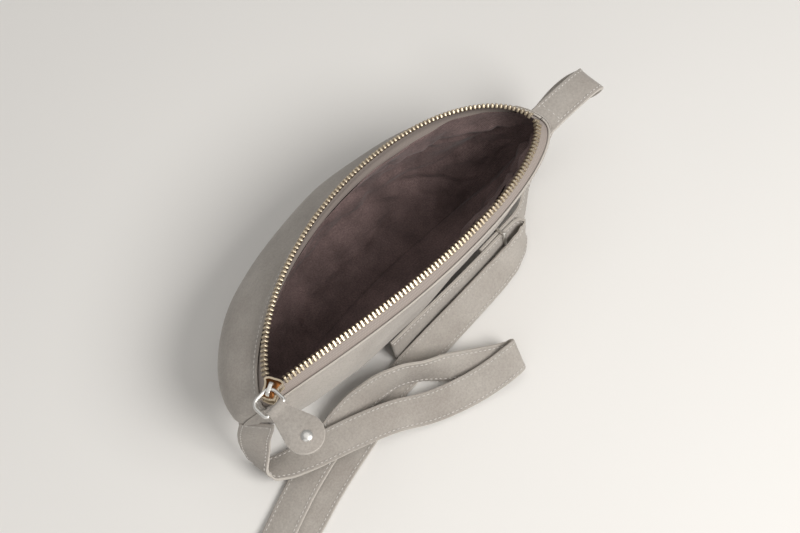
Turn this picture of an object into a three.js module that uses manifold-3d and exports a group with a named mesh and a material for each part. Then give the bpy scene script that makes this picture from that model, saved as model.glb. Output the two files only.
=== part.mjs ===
// Fanny pack standing open: two leather panels round a lined hollow, a metal zip along the mouth
// with its slider at one end, and a belt in two straps that lies beside the bag.
// Millimetres, +Z up. X runs along the mouth from the slider to the far end, +Y is the front.
// The origin is on the resting surface, at the middle of the whole part's footprint.
import * as THREE from "three";
import { mergeVertices } from "three/addons/utils/BufferGeometryUtils.js";
import Module from "manifold-3d";

const wasm = await Module();
wasm.setup();

// Driving dimensions
const ORIGIN = new THREE.Vector3(-21.205, 3.565, 0); // footprint centre, from under the mouth's middle
const GAP = 0.3; // clearance between pieces that touch
const LEATHER = 1.8; // panel thickness
const PATCH = 0.9; // thinned leather over the two ends
const TAPE = 0.7; // zip tape thickness
const LINING = 0.7; // lining thickness
const STRAP_W = 22;
const STRAP_T = 2.4; // two plies sewn together
const TOOTH_PITCH = 3.02;
const TOOTH_H = 4.6; // whole tooth
const TOOTH_GRIP = 2; // the part of it that grips the tape's corded edge
const TOOTH_T = 3.2; // across the tape
const SLIDER_L = 14;
const SLIDER_W = 12.4; // at the crown
const SLIDER_TAIL_W = 9;
const CHANNEL = 5.2; // inside height of the slider
const PLATE = 1.3; // slider plate thickness
const WIRE_R = 1; // pull ring wire
const TAB_L = 35; // pull tab, ring bar to round end
const TAB_ROUND = 12; // radius of the round end
const TAB_T = 3;

// Plan outline of the bag at six heights, from the zip's teeth down to the seam under the base.
// x0, x1: ends; y0, y1: side position of the ends; front, back: greatest bulge to either side;
// cf, cb: where along the length the bulge peaks; the p values shape the curve towards each end;
// z: height at the middle; z0, z1: height at the ends.
const LEVELS = {
  teeth: { x0: -128, x1: 126.5, y0: -1, y1: 3, front: 63, back: -23.5, cf: 0.55, cb: 0.7,
    pf0: 0.7, pf1: 0.5, pb0: 1.4, pb1: 0.55, z: 108, z0: 108.5, z1: 107.5 },
  edge: { x0: -138, x1: 134, y0: -4.5, y1: 1.5, front: 67, back: -28, cf: 0.55, cb: 0.68,
    pf0: 0.68, pf1: 0.5, pb0: 1.2, pb1: 0.42, z: 102.5, z0: 101.5, z1: 100.5 },
  belly: { x0: -147.5, x1: 144, y0: -1, y1: 1, front: 94, back: -19, cf: 0.5, cb: 0.62,
    pf0: 0.45, pf1: 0.58, pb0: 0.7, pb1: 0.6, z: 64, z0: 82, z1: 84 },
  low: { x0: -136, x1: 131, y0: 14, y1: 13, front: 72, back: -18, cf: 0.5, cb: 0.55,
    pf0: 0.5, pf1: 0.55, pb0: 0.7, pb1: 0.65, z: 13, z0: 44, z1: 46 },
  foot: { x0: -113, x1: 109, y0: 25, y1: 24, front: 45, back: -17, cf: 0.5, cb: 0.5,
    pf0: 0.55, pf1: 0.55, pb0: 0.6, pb1: 0.6, z: 0, z0: 16, z1: 17 },
  seam: { x0: -92, x1: 86, y0: 30, y1: 30, front: 7, back: 7, cf: 0.5, cb: 0.5,
    pf0: 1, pf1: 1, pb0: 1, pb1: 1, z: 0, z0: 4, z1: 4 },
};
const WALL = ["edge", "belly", "low", "foot", "seam"];

const leatherMat = (c) => new THREE.MeshStandardMaterial({ color: c, roughness: 0.85, metalness: 0 });
const metalMat = (c) => new THREE.MeshStandardMaterial({ color: c, roughness: 0.28, metalness: 1 });
const V = (x, y, z) => new THREE.Vector3(x, y, z);
const pack = new THREE.Group();

function addMesh(name, geometry, material) {
  const mesh = new THREE.Mesh(geometry, material);
  mesh.name = name;
  mesh.position.sub(ORIGIN);
  pack.add(mesh);
  return mesh;
}

// Closed surfaces from rows of points

function fromTriangles(points, triangles) {
  const g = new THREE.BufferGeometry();
  g.setAttribute("position", new THREE.Float32BufferAttribute(points.flatMap((p) => [p.x, p.y, p.z]), 3));
  let volume = 0;
  for (const [a, b, c] of triangles) {
    volume += points[a].dot(points[b].clone().cross(points[c]));
  }
  g.setIndex(triangles.flatMap(([a, b, c]) => (volume < 0 ? [a, c, b] : [a, b, c])));
  return g;
}

// Two matching grids of points, joined round their border into one closed shell
function shell(outer, inner) {
  const nu = outer.length;
  const nv = outer[0].length;
  const points = [...outer.flat(), ...inner.flat()];
  const id = (i, j, k) => (k * nu + i) * nv + j;
  const tri = [];
  const quad = (a, b, c, d) => tri.push([a, b, c], [a, c, d]);
  for (let i = 0; i + 1 < nu; i++) {
    for (let j = 0; j + 1 < nv; j++) {
      quad(id(i, j, 0), id(i + 1, j, 0), id(i + 1, j + 1, 0), id(i, j + 1, 0));
      quad(id(i, j, 1), id(i, j + 1, 1), id(i + 1, j + 1, 1), id(i + 1, j, 1));
    }
    quad(id(i, 0, 0), id(i, 0, 1), id(i + 1, 0, 1), id(i + 1, 0, 0));
    quad(id(i, nv - 1, 0), id(i + 1, nv - 1, 0), id(i + 1, nv - 1, 1), id(i, nv - 1, 1));
  }
  for (let j = 0; j + 1 < nv; j++) {
    quad(id(0, j, 0), id(0, j + 1, 0), id(0, j + 1, 1), id(0, j, 1));
    quad(id(nu - 1, j, 0), id(nu - 1, j, 1), id(nu - 1, j + 1, 1), id(nu - 1, j + 1, 0));
  }
  return fromTriangles(points, tri);
}

// Rings of points joined one to the next, with flat ends
function skin(rings) {
  const n = rings[0].length;
  const points = rings.flat();
  const tri = [];
  for (let i = 0; i + 1 < rings.length; i++) {
    for (let j = 0; j < n; j++) {
      const a = i * n + j;
      const b = i * n + ((j + 1) % n);
      tri.push([a, b, b + n], [a, b + n, a + n]);
    }
  }
  const last = (rings.length - 1) * n;
  for (let j = 1; j + 1 < n; j++) tri.push([0, j + 1, j], [last, last + j, last + j + 1]);
  return fromTriangles(points, tri);
}

// The bag's wall: a point on the leather's outside, by side (1 front, -1 back), by the share of
// the way round that side from the slider's end, and by the distance down from the leather's edge

function outline(level, side, turn) {
  const k = LEVELS[level];
  const u = (1 - Math.cos(Math.PI * turn)) / 2;
  const c = side > 0 ? k.cf : k.cb;
  const p = side > 0 ? [k.pf0, k.pf1] : [k.pb0, k.pb1];
  const e = u < c ? (c - u) / c : (u - c) / (1 - c);
  const bulge = Math.pow(Math.max(1 - e * e, 0), u < c ? p[0] : p[1]);
  const rise = Math.pow(Math.max(Math.abs(2 * u - 1) - 0.3, 0) / 0.7, 2.2); // level over the middle third
  return V(
    k.x0 + (k.x1 - k.x0) * u,
    k.y0 + (k.y1 - k.y0) * u + (side > 0 ? k.front : k.back) * bulge,
    k.z + ((u < 0.5 ? k.z0 : k.z1) - k.z) * rise,
  );
}

const profiles = new Map();
function profile(side, turn) {
  const key = `${side},${turn.toFixed(5)}`;
  if (!profiles.has(key)) {
    const curve = new THREE.CatmullRomCurve3(WALL.map((w) => outline(w, side, turn)), false, "centripetal");
    const points = curve.getPoints(64).map((p) => V(p.x, p.y, Math.max(p.z, 0)));
    const down = [0];
    for (let i = 1; i < points.length; i++) down.push(down[i - 1] + points[i].distanceTo(points[i - 1]));
    profiles.set(key, { points, down });
  }
  return profiles.get(key);
}

function wall(side, turn, down) {
  const f = profile(side, turn);
  let i = 0;
  while (i < f.down.length - 2 && f.down[i + 1] < down) i++;
  const share = (down - f.down[i]) / (f.down[i + 1] - f.down[i]);
  return f.points[i].clone().lerp(f.points[i + 1], share);
}

const wallLength = (side, turn) => profile(side, turn).down.at(-1);

function slope(side, turn, share) {
  const at = (t, k) => wall(side, t, k * wallLength(side, t));
  const along = at(Math.min(turn + 0.03, 1), share).sub(at(Math.max(turn - 0.03, 0), share));
  const down = at(turn, Math.min(share + 0.02, 1)).sub(at(turn, Math.max(share - 0.02, 0)));
  return along.cross(down).multiplyScalar(side).normalize();
}

// Outward direction; towards the ends and the seam the two sides turn to one common direction,
// so that their edges meet flat
function outward(side, turn, share) {
  const n = slope(side, turn, share);
  const length = wallLength(side, turn);
  const end = turn < 0.5 ? 0 : 1;
  const toEnd = wall(side, turn, share * length).distanceTo(wall(side, end, share * wallLength(side, end)));
  const atEnd = Math.max(1 - toEnd / 14, 0);
  if (atEnd > 0) {
    const near = end ? 0.9 : 0.1;
    const both = slope(1, near, share).add(slope(-1, near, share)).normalize();
    n.lerp(both, atEnd).normalize();
  }
  const atSeam = Math.max(1 - ((1 - share) * length) / 14, 0);
  if (atSeam > 0) {
    const both = slope(1, turn, 0.97).add(slope(-1, turn, 0.97)).normalize();
    n.lerp(both, atSeam).normalize();
  }
  return n;
}

// A point at a depth inside the leather's outside; a turn below 0 or past 1 carries on round the
// end on to the other side
function inside(side, turn, down, depth) {
  if (turn < 0) return inside(-side, -turn, down, depth);
  if (turn > 1) return inside(-side, 2 - turn, down, depth);
  const length = wallLength(side, turn);
  return wall(side, turn, down).addScaledVector(outward(side, turn, down / length), -depth);
}

// A sheet that lines the wall between two depths; the rows get closer towards its top
function wallSheet(side, [t0, t1, nt], [d0, d1, nd], [near, far]) {
  const grid = (depth) =>
    Array.from({ length: nt + 1 }, (_, i) => {
      const turn = t0 + ((t1 - t0) * i) / nt;
      const end = d1 < 0 ? wallLength(side, turn) + d1 : d1;
      return Array.from({ length: nd + 1 }, (_, j) => inside(side, turn, d0 + (end - d0) * (j / nd), depth));
    });
  return shell(grid(near), grid(far));
}

// Panels, lining and pocket
const gapAtSeam = -GAP;
addMesh("front_panel", wallSheet(1, [0, 1, 32], [0, gapAtSeam, 11], [0, LEATHER]), leatherMat(0xa69d94));
const backWall = wallSheet(-1, [0.025, 0.975, 28], [0, gapAtSeam, 11], [0, LEATHER]);
addMesh("back_panel", backWall, leatherMat(0xaea69d));
const liningOut = LEATHER + TAPE + 3 * GAP;
const liningDepth = [liningOut, liningOut + LINING];
addMesh("front_lining", wallSheet(1, [0.11, 0.9, 20], [4, -4.6, 8], liningDepth), leatherMat(0x4a403d));
addMesh("back_lining", wallSheet(-1, [0.2, 0.88, 22], [4, -4.6, 8], liningDepth), leatherMat(0x463c3a));

// Slip pocket on the back lining, standing a little open at its hem
{
  const grid = (extra) =>
    Array.from({ length: 15 }, (_, i) => {
      const turn = 0.36 + 0.4 * (i / 14);
      return Array.from({ length: 6 }, (_, j) => {
        const stand = 3.2 * Math.sin((Math.PI * i) / 14) * Math.pow(1 - j / 5, 2);
        return inside(-1, turn, 34 + 52 * (j / 5), liningOut + LINING + 2 * GAP + stand + extra);
      });
    });
  addMesh("inner_pocket", shell(grid(0), grid(LINING)), leatherMat(0x4d4340));
}

// Zip: tape, toothed edge and end stop for each side
function chain(side, from, to) {
  const turns = Array.from({ length: 161 }, (_, i) => from + ((to - from) * i) / 160);
  const line = turns.map((t) => outline("teeth", side, t));
  const s = [0];
  for (let i = 1; i < line.length; i++) s.push(s[i - 1] + line[i].distanceTo(line[i - 1]));
  const at = (d) => {
    let i = 0;
    while (i < s.length - 2 && s[i + 1] < d) i++;
    const k = (d - s[i]) / (s[i + 1] - s[i]);
    const turn = turns[i] + (turns[i + 1] - turns[i]) * k;
    const p = outline("teeth", side, turn);
    const ahead = outline("teeth", side, Math.min(turn + 0.01, 1));
    const tangent = ahead.sub(outline("teeth", side, Math.max(turn - 0.01, 0))).normalize();
    const up = p.clone().sub(wall(side, turn, 0));
    up.addScaledVector(tangent, -up.dot(tangent)).normalize();
    return { p, turn, up, across: tangent.clone().cross(up) };
  };
  return { at, length: s.at(-1) };
}

function toothedEdge(run) {
  const ring = (f, u0, u1, w) =>
    [[u0, -w], [u1, -w], [u1, w], [u0, w]].map(([u, a]) =>
      f.p.clone().addScaledVector(f.up, u).addScaledVector(f.across, a));
  const count = Math.round(run.length / TOOTH_PITCH);
  const pitch = run.length / count;
  const rings = [ring(run.at(0), -0.7, 0.7, 0.7)];
  for (let i = 0; i < count; i++) {
    const a = run.at((i + 0.26) * pitch);
    const b = run.at((i + 0.74) * pitch);
    for (const f of [a, b]) {
      const cord = ring(f, -0.7, 0.7, 0.7);
      const tooth = ring(f, -TOOTH_GRIP, TOOTH_H - TOOTH_GRIP, TOOTH_T / 2);
      rings.push(...(f === a ? [cord, tooth] : [tooth, cord]));
    }
  }
  rings.push(ring(run.at(run.length), -0.7, 0.7, 0.7));
  return skin(rings);
}

function zipTape(side, run) {
  const n = 34;
  const rows = Array.from({ length: n + 1 }, (_, i) => {
    const f = run.at((run.length * i) / n);
    return [
      f.p.clone().addScaledVector(f.up, -TOOTH_GRIP - GAP),
      inside(side, f.turn, 0, LEATHER + 0.9),
      inside(side, f.turn, 6, LEATHER + 1.5 * GAP),
      inside(side, f.turn, 11.5, LEATHER + 1.5 * GAP),
    ];
  });
  const back = rows.map((row, i) => {
    const f = run.at((run.length * i) / n);
    const a = f.across.clone().multiplyScalar(f.across.dot(outward(side, f.turn, 0)) > 0 ? -TAPE : TAPE);
    return [
      row[0].clone().add(a),
      inside(side, f.turn, 0, LEATHER + 0.9 + TAPE),
      inside(side, f.turn, 6, LEATHER + 1.5 * GAP + TAPE),
      inside(side, f.turn, 11.5, LEATHER + 1.5 * GAP + TAPE),
    ];
  });
  return shell(rows, back);
}

const gold = 0xd8c8ae;
const runs = { front: chain(1, 0.13, 0.982), back: chain(-1, 0.17, 0.915) };
for (const [name, side] of [["front", 1], ["back", -1]]) {
  const run = runs[name];
  addMesh(`zip_teeth_${name}`, toothedEdge(run), metalMat(gold));
  addMesh(`zip_tape_${name}`, zipTape(side, run), leatherMat(0x8d8380));
  const f = run.at(run.length);
  const along = f.up.clone().cross(f.across);
  if (along.dot(f.p.clone().sub(run.at(run.length - 3).p)) < 0) along.negate();
  const stop = new THREE.BoxGeometry(2, TOOTH_H, TOOTH_T + 0.6);
  const frame = new THREE.Matrix4().makeBasis(along, f.up, along.clone().cross(f.up));
  const at = f.p.clone().addScaledVector(along, 1 + GAP);
  frame.setPosition(at.addScaledVector(f.up, TOOTH_H / 2 - TOOTH_GRIP));
  addMesh(`zip_stop_${name}`, stop.applyMatrix4(frame), metalMat(gold));
}

// Slider: two plates joined by a wedge at the throat, rolled-in side flanges, and a bail on top
const SLIDER_AT = V(-127.5, -0.8, 108.5);
const SLIDER_TURN = THREE.MathUtils.degToRad(24);

function solid(geometry) {
  let g = geometry.index ? geometry : mergeVertices(geometry);
  g.deleteAttribute("normal");
  g.deleteAttribute("uv");
  g = mergeVertices(g, 1e-4);
  return new wasm.Manifold(new wasm.Mesh({
    numProp: 3,
    vertProperties: new Float32Array(g.attributes.position.array),
    triVerts: new Uint32Array(g.index.array),
  }));
}

function geometryOf(manifold) {
  const m = manifold.getMesh();
  const g = new THREE.BufferGeometry();
  g.setAttribute("position", new THREE.Float32BufferAttribute(m.vertProperties, 3));
  g.setIndex(Array.from(m.triVerts));
  return g;
}

const extrude = (shape, depth, segments = 5) =>
  new THREE.ExtrudeGeometry(shape, { depth, bevelEnabled: false, curveSegments: segments });

function sliderPlan(inset) {
  const h = SLIDER_L / 2 - inset;
  const w = SLIDER_W / 2 - inset;
  const t = SLIDER_TAIL_W / 2 - inset;
  const s = new THREE.Shape();
  s.moveTo(-h + 2, -t);
  s.lineTo(-1, -t);
  s.quadraticCurveTo(3, -t, 4.5, -w);
  s.quadraticCurveTo(h + 0.6, -w, h, 0);
  s.quadraticCurveTo(h + 0.6, w, 4.5, w);
  s.quadraticCurveTo(3, t, -1, t);
  s.lineTo(-h + 2, t);
  s.quadraticCurveTo(-h, t, -h, 0);
  s.quadraticCurveTo(-h, -t, -h + 2, -t);
  return s;
}

{
  const plate = extrude(sliderPlan(0), PLATE);
  const top = solid(plate.clone().translate(0, 0, CHANNEL / 2));
  const bottom = solid(plate.clone().translate(0, 0, -CHANNEL / 2 - PLATE));
  const nose = [[2.6, 0], [5.2, -1.1], [6.4, 0], [5.2, 1.1]];
  const wedge = new THREE.Shape(nose.map(([x, y]) => new THREE.Vector2(x, y)));
  let body = top.add(bottom).add(solid(extrude(wedge, CHANNEL + 1).translate(0, 0, -CHANNEL / 2 - 0.5)));
  const flange = new THREE.BoxGeometry(SLIDER_L * 0.5, 0.9, 1.6);
  for (const sy of [-1, 1]) {
    for (const sz of [-1, 1]) {
      const f = flange.clone();
      f.translate(-SLIDER_L * 0.19, sy * (SLIDER_TAIL_W / 2 - 0.45), sz * (CHANNEL / 2 - 0.5));
      body = body.add(solid(f));
    }
  }
  addMesh("slider_body", geometryOf(body), metalMat(gold));
}

const BAIL_X = -1.2; // bail's middle, back from the slider's middle
const BAIL_IN = 6.4; // clear length under the bail
const BAIL_H = 3.4; // clear height under the bail
{
  const s = new THREE.Shape();
  const o = BAIL_IN / 2 + 1.2;
  s.moveTo(-o, 0);
  s.lineTo(-o, BAIL_H - 1.2);
  s.quadraticCurveTo(-o, BAIL_H + 1.2, -o + 2.2, BAIL_H + 1.2);
  s.lineTo(o - 2.2, BAIL_H + 1.2);
  s.quadraticCurveTo(o, BAIL_H + 1.2, o, BAIL_H - 1.2);
  s.lineTo(o, 0);
  s.lineTo(o - 1.2, 0);
  s.lineTo(o - 1.2, BAIL_H - 1.2);
  s.quadraticCurveTo(o - 1.2, BAIL_H, o - 2.4, BAIL_H);
  s.lineTo(-o + 2.4, BAIL_H);
  s.quadraticCurveTo(-o + 1.2, BAIL_H, -o + 1.2, BAIL_H - 1.2);
  s.lineTo(-o + 1.2, 0);
  const g = extrude(s, 2.4, 4).translate(BAIL_X, 0, -1.2).rotateX(Math.PI / 2);
  addMesh("slider_bail", g.translate(0, 0, CHANNEL / 2 + PLATE + 0.05), metalMat(gold));
}
for (const name of ["slider_body", "slider_bail"]) {
  const m = pack.getObjectByName(name);
  m.rotation.z = SLIDER_TURN;
  m.position.add(SLIDER_AT);
}

// Tape end that runs out of the slider and down inside the leather
{
  const s = new THREE.Shape();
  s.moveTo(1.5, 0.35);
  s.lineTo(-6.9, 0.35);
  s.lineTo(-8.2, -1.4);
  s.lineTo(-8.2, -6.4);
  s.lineTo(-7.5, -6.4);
  s.lineTo(-7.5, -1.6);
  s.lineTo(-6.6, -0.35);
  s.lineTo(1.5, -0.35);
  s.closePath();
  const g = extrude(s, 3.4).translate(0, 0, -4.6).rotateX(Math.PI / 2);
  const m = addMesh("zip_tape_end", g, leatherMat(0x8d8380));
  m.rotation.z = SLIDER_TURN;
  m.position.add(SLIDER_AT);
}

// Pull: wire ring with one corner in the bail, leather tab round its bar, domed rivet in the tab
const BAIL_AT = SLIDER_AT.clone().add(V(BAIL_X * Math.cos(SLIDER_TURN), BAIL_X * Math.sin(SLIDER_TURN), 0));
const RING_Z = SLIDER_AT.z + CHANNEL / 2 + PLATE + 0.05 + BAIL_H / 2;
const RING = { w: 15.5, h: 12.5, top: 5, bar: 1.6 }; // wire centreline and its corner radii
const RING_CORNER = V(BAIL_AT.x - RING.top * Math.SQRT1_2, BAIL_AT.y - RING.top * Math.SQRT1_2, RING_Z);
const ringRight = RING_CORNER.x + RING.top;
const ringTop = RING_CORNER.y + RING.top;
const barY = ringTop - RING.h;
const barX = ringRight - RING.w / 2;
{
  const arcs = [
    [ringRight - RING.top, ringTop - RING.top, RING.top, 90, 0],
    [ringRight - RING.bar, barY + RING.bar, RING.bar, 0, -90],
    [ringRight - RING.w + RING.bar, barY + RING.bar, RING.bar, -90, -180],
    [ringRight - RING.w + RING.top, ringTop - RING.top, RING.top, 180, 90],
  ];
  const centre = arcs.flatMap(([cx, cy, r, a0, a1]) => {
    const n = r > 3 ? 6 : 4;
    return Array.from({ length: n + 1 }, (_, i) => {
      const a = THREE.MathUtils.degToRad(a0 + ((a1 - a0) * i) / n);
      return V(cx + r * Math.cos(a), cy + r * Math.sin(a), RING_Z);
    });
  });
  const n = centre.length;
  const sides = 8;
  const points = centre.flatMap((c, i) => {
    const along = centre[(i + 1) % n].clone().sub(centre[(i + n - 1) % n]).normalize();
    const out = V(along.y, -along.x, 0);
    return Array.from({ length: sides }, (_, j) => {
      const a = (2 * Math.PI * (j + 0.5)) / sides;
      return c.clone().addScaledVector(out, WIRE_R * Math.cos(a)).add(V(0, 0, WIRE_R * Math.sin(a)));
    });
  });
  const tri = [];
  for (let i = 0; i < n; i++) {
    for (let j = 0; j < sides; j++) {
      const a = i * sides + j;
      const b = i * sides + ((j + 1) % sides);
      const c = ((i + 1) % n) * sides + ((j + 1) % sides);
      const d = ((i + 1) % n) * sides + j;
      tri.push([a, b, c], [a, c, d]);
    }
  }
  addMesh("pull_ring", fromTriangles(points, tri), metalMat(0xe2dccf));
}

const RIVET_Y = barY - 25;
{
  const half = (RING.w - 2 * RING.bar) / 2 - 0.2; // the tab is as wide as the bar at the ring
  const neck = TAB_L - TAB_ROUND - 3; // from the round end's centre up to where the straight sides begin
  const touch = Math.atan2(neck, -half) + Math.acos(TAB_ROUND / Math.hypot(neck, half));
  const s = new THREE.Shape();
  s.moveTo(-half, 0);
  s.lineTo(-half, -3);
  s.absarc(0, -TAB_L + TAB_ROUND, TAB_ROUND, touch, 3 * Math.PI - touch, false);
  s.lineTo(half, -3);
  s.lineTo(half, 0);
  s.closePath();
  const loop = new THREE.CylinderGeometry(2.5, 2.5, 2 * half, 20).rotateZ(Math.PI / 2);
  const hole = new THREE.CylinderGeometry(WIRE_R + 0.35, WIRE_R + 0.35, 4 * half, 16).rotateZ(Math.PI / 2);
  const post = new THREE.CylinderGeometry(1.75, 1.75, 3 * TAB_T, 16).rotateX(Math.PI / 2);
  post.translate(0, RIVET_Y - barY, 0);
  const blade = solid(extrude(s, TAB_T, 10).translate(0, 0, -TAB_T / 2)).add(solid(loop));
  const tab = blade.subtract(solid(hole)).subtract(solid(post));
  addMesh("pull_tab", geometryOf(tab).translate(barX, barY, RING_Z), leatherMat(0xa39a91));
  const cap = [[0, -2.2], [3, -2.2], [3, -TAB_T / 2 - 0.2], [1.45, -TAB_T / 2 - 0.2], [1.45, TAB_T / 2 + 0.2],
    [3.8, TAB_T / 2 + 0.2], [3.6, 2.2], [2.4, 2.9], [0, 3.2]];
  const rivet = new THREE.LatheGeometry(cap.map(([x, y]) => new THREE.Vector2(x, y)), 20);
  rivet.rotateX(Math.PI / 2);
  addMesh("tab_rivet", geometryOf(solid(rivet)).translate(barX, RIVET_Y, RING_Z), metalMat(0xd9d9d6));
}

// Leather patches that close the two ends, from the zip's end down to where a strap is sewn on
const patchDepth = [-GAP - PATCH, -GAP];
const leftPatch = wallSheet(1, [-0.085, 0.085, 10], [0.6, 13, 2], patchDepth);
const rightPatch = wallSheet(1, [0.915, 1.085, 10], [0.6, 6, 2], patchDepth);
addMesh("left_end_patch", leftPatch, leatherMat(0xa69d94));
addMesh("right_end_patch", rightPatch, leatherMat(0xa69d94));

// A strap follows stations of its middle line, each with the direction from one edge to the other
function strap(stations, steps) {
  const middle = new THREE.CatmullRomCurve3(stations.map(([c]) => V(...c)), false, "centripetal");
  const rings = [];
  let length = 0;
  const places = Array.from({ length: steps + 1 }, (_, i) => middle.getUtoTmapping(i / steps));
  places.forEach((t, i) => {
    const c = middle.getPoint(t);
    const along = middle.getTangent(t);
    const w = acrossAt(stations, t);
    w.addScaledVector(along, -w.dot(along)).normalize();
    const n = along.clone().cross(w).multiplyScalar(STRAP_T / 2);
    w.multiplyScalar(STRAP_W / 2);
    const [low, high] = [c.clone().sub(n), c.clone().add(n)];
    rings.push([low.clone().sub(w), low.add(w), high.clone().add(w), high.sub(w)]);
    if (i) length += c.distanceTo(middle.getPoint(places[i - 1]));
  });
  return { geometry: skin(rings), length };
}

function acrossAt(stations, t) {
  const n = stations.length - 1;
  const i = Math.min(Math.floor(t * n), n - 1);
  const k = t * n - i;
  const a = V(...stations[i][1]).normalize();
  const b = V(...stations[i + 1][1]).normalize();
  return a.lerp(b, k * k * (3 - 2 * k));
}

// Long strap: sewn to the slider's end, down to the surface, a loop beside the bag, out and back
// as a folded pair, along the bag's back, and a folded tail that the metal slide holds
const longStrap = strap([
  [inside(1, 0, 36, -STRAP_T / 2 - 3 * GAP).toArray(), [-15, 15, 1]],
  [inside(1, 0, 44, -STRAP_T / 2 - 5 * GAP).toArray(), [-16, 14, 0]],
  [[-147, 6.2, 50], [-16, 13, -4]],
  [[-147.6, 6.8, 40], [-15, 12, -9]],
  [[-149.8, 6, 29], [-12, 10, -15]],
  [[-152.2, 2.6, 19.6], [-6, 8, -19]],
  [[-153, -1.6, 14], [1, 8, -20]],
  [[-152.6, -3, 11.8], [5, 11, -18]],
  [[-146.8, -7, 9.8], [11, 16, -10]],
  [[-135, -13.6, 9.4], [9, 19, -5]],
  [[-113.5, -22.6, 11.6], [5, 20, 3]],
  [[-86, -34.5, 13.2], [10, 18, 6]],
  [[-66.5, -43.5, 10.8], [11, 17, 7]],
  [[-45.3, -56.5, 7.8], [10, 18, 7]],
  [[-18.3, -68.2, 7.4], [7, 19, 7.5]],
  [[3, -75, 10.8], [7, 18, 9.5]],
  [[18, -78.2, 14.6], [6.5, 17, 11.7]],
  [[21, -78.2, 13.9], [6.5, 17, 11.7]],
  [[22.8, -77.1, 11.7], [6.5, 17, 11.7]],
  [[22.4, -75.6, 9.3], [6.5, 17, 11.7]],
  [[19.9, -74.5, 8.2], [6.5, 17, 12]],
  [[6, -65, 9.4], [8, 13, 15]],
  [[-13.7, -49.5, 11.4], [9, 9, 17]],
  [[-31.8, -36, 13.8], [3, 4, 21]],
  [[-45.3, -27.3, 15.6], [1.5, 6, 20.5]],
  [[-64.5, -20.6, 14.2], [3, 10, 19]],
  [[-84, -18.8, 10.6], [1, 17, 12]],
  [[-104, -20, 6.9], [-2, 21, 4]],
  [[-124, -23.4, 4.7], [-4, 21, -2]],
  [[-146.5, -28.6, 3.9], [-5.5, 20.8, -3]],
  [[-180, -39.4, 5], [-5.5, 20.8, -3]],
  [[-205, -48.2, 8.6], [-6.5, 20.8, -1]],
  [[-221, -55, 10], [-7, 20.6, 0]],
  [[-226.5, -57, 5.8], [-7, 20.6, 0]],
  [[-221, -58.4, 2.4], [-6, 21, 0]],
  [[-212, -57.6, 1.7], [-5, 21.3, 0]],
  [[-200, -55.8, 1.5], [-4.4, 21.5, 0]],
  [[-180, -51.9, 1.4], [-4.4, 21.5, 0]],
  [[-158.5, -47.1, 1.4], [-4.4, 21.5, 0]],
  [[-134.8, -41.1, 1.4], [-4.4, 21.5, 0]],
  [[-109.7, -36.2, 1.4], [-4.4, 21.5, 0]],
  [[-91.5, -33.3, 1.4], [-4, 21.6, 0]],
  [[-70, -29, 1.4], [-3.5, 21.7, 0]],
  [[-52.5, -26.2, 1.7], [-2.5, 21.8, 0.4]],
  [[-38, -25.6, 2.6], [-1.5, 21.8, 2]],
  [[-10.5, -26.4, 5.2], [0, 20.5, 7]],
  [[28, -27.3, 7.6], [-2, 18.5, 11.5]],
  [[55, -27.4, 8.8], [-2, 17.5, 13]],
  [[72, -27.2, 10.2], [-1, 15, 16]],
  [[86, -25.6, 12], [0, 10, 19.6]],
  [[96, -22.8, 13.4], [0, 6, 21.2]],
  [[101, -19, 14.2], [0, 4.3, 21.6]],
  [[97.5, -15.8, 14.4], [0, 4.3, 21.6]],
  [[90, -15, 14.4], [0, 4.3, 21.6]],
  [[72, -15, 14.4], [0, 4.3, 21.6]],
  [[50, -14.6, 13.8], [0, 4.3, 21.6]],
  [[25, -13.6, 12.8], [0, 4.3, 21.6]],
  [[0, -12.4, 12], [0, 4.3, 21.6]],
  [[-33, -11.2, 11.8], [0, 4.3, 21.6]],
], 128);
addMesh("long_strap", longStrap.geometry, leatherMat(0xa9a198));

// Short strap: sewn to the far end, folded back on itself and led under the bag to the slide
const shortStrap = strap([
  [[139.9, 1, 95.2], [1.3, 21.9, 0]],
  [[158, -0.3, 96], [1.3, 21.9, 0]],
  [[176, -1.6, 96], [1.3, 21.9, 0]],
  [[184.4, -2.2, 94.2], [1.3, 21.9, 0]],
  [[187, -1.6, 90.6], [1.3, 21.9, 0]],
  [[186.8, 1.4, 84], [1.4, 21.9, 0]],
  [[186, 8, 73], [1.5, 21.5, 3]],
  [[184, 13.6, 61], [2, 21, 5]],
  [[178.5, 18, 48], [2, 21, 5]],
  [[168.5, 20, 36], [2, 20.5, 6]],
  [[155, 16.6, 26.4], [3, 18, 11]],
  [[141, 9.2, 20], [5, 12, 17]],
  [[129, 1.4, 16.6], [3, 6, 21]],
  [[118, -5.6, 14.8], [1, 4.3, 21.6]],
  [[108, -10.4, 14.4], [0, 4.3, 21.6]],
  [[98, -11.9, 14.4], [0, 4.3, 21.6]],
  [[86, -12, 14.4], [0, 4.3, 21.6]],
  [[74, -12, 14.4], [0, 4.3, 21.6]],
  [[62, -12, 14.4], [0, 4.3, 21.6]],
], 58);
addMesh("short_strap", shortStrap.geometry, leatherMat(0xa9a198));

// Metal slide round the two straps where they overlap
{
  const hole = [6.4, STRAP_W + 1.6];
  const wire = 1.7;
  const box = (x, y) => [[-x, -y], [x, -y], [x, y], [-x, y]].map(([a, b]) => new THREE.Vector2(a / 2, b / 2));
  const s = new THREE.Shape(box(hole[0] + 2 * wire, hole[1] + 2 * wire));
  s.holes.push(new THREE.Path(box(hole[0], hole[1]).reverse()));
  const g = extrude(s, 2).translate(0, 0, -1);
  const up = V(0, 4.3, 21.6).normalize();
  const along = V(-1, 0, 0);
  const frame = new THREE.Matrix4().makeBasis(up.clone().cross(along), up, along);
  g.applyMatrix4(frame.setPosition(82, -13.5, 14.4));
  addMesh("strap_slide", g, metalMat(gold));
}

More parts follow.
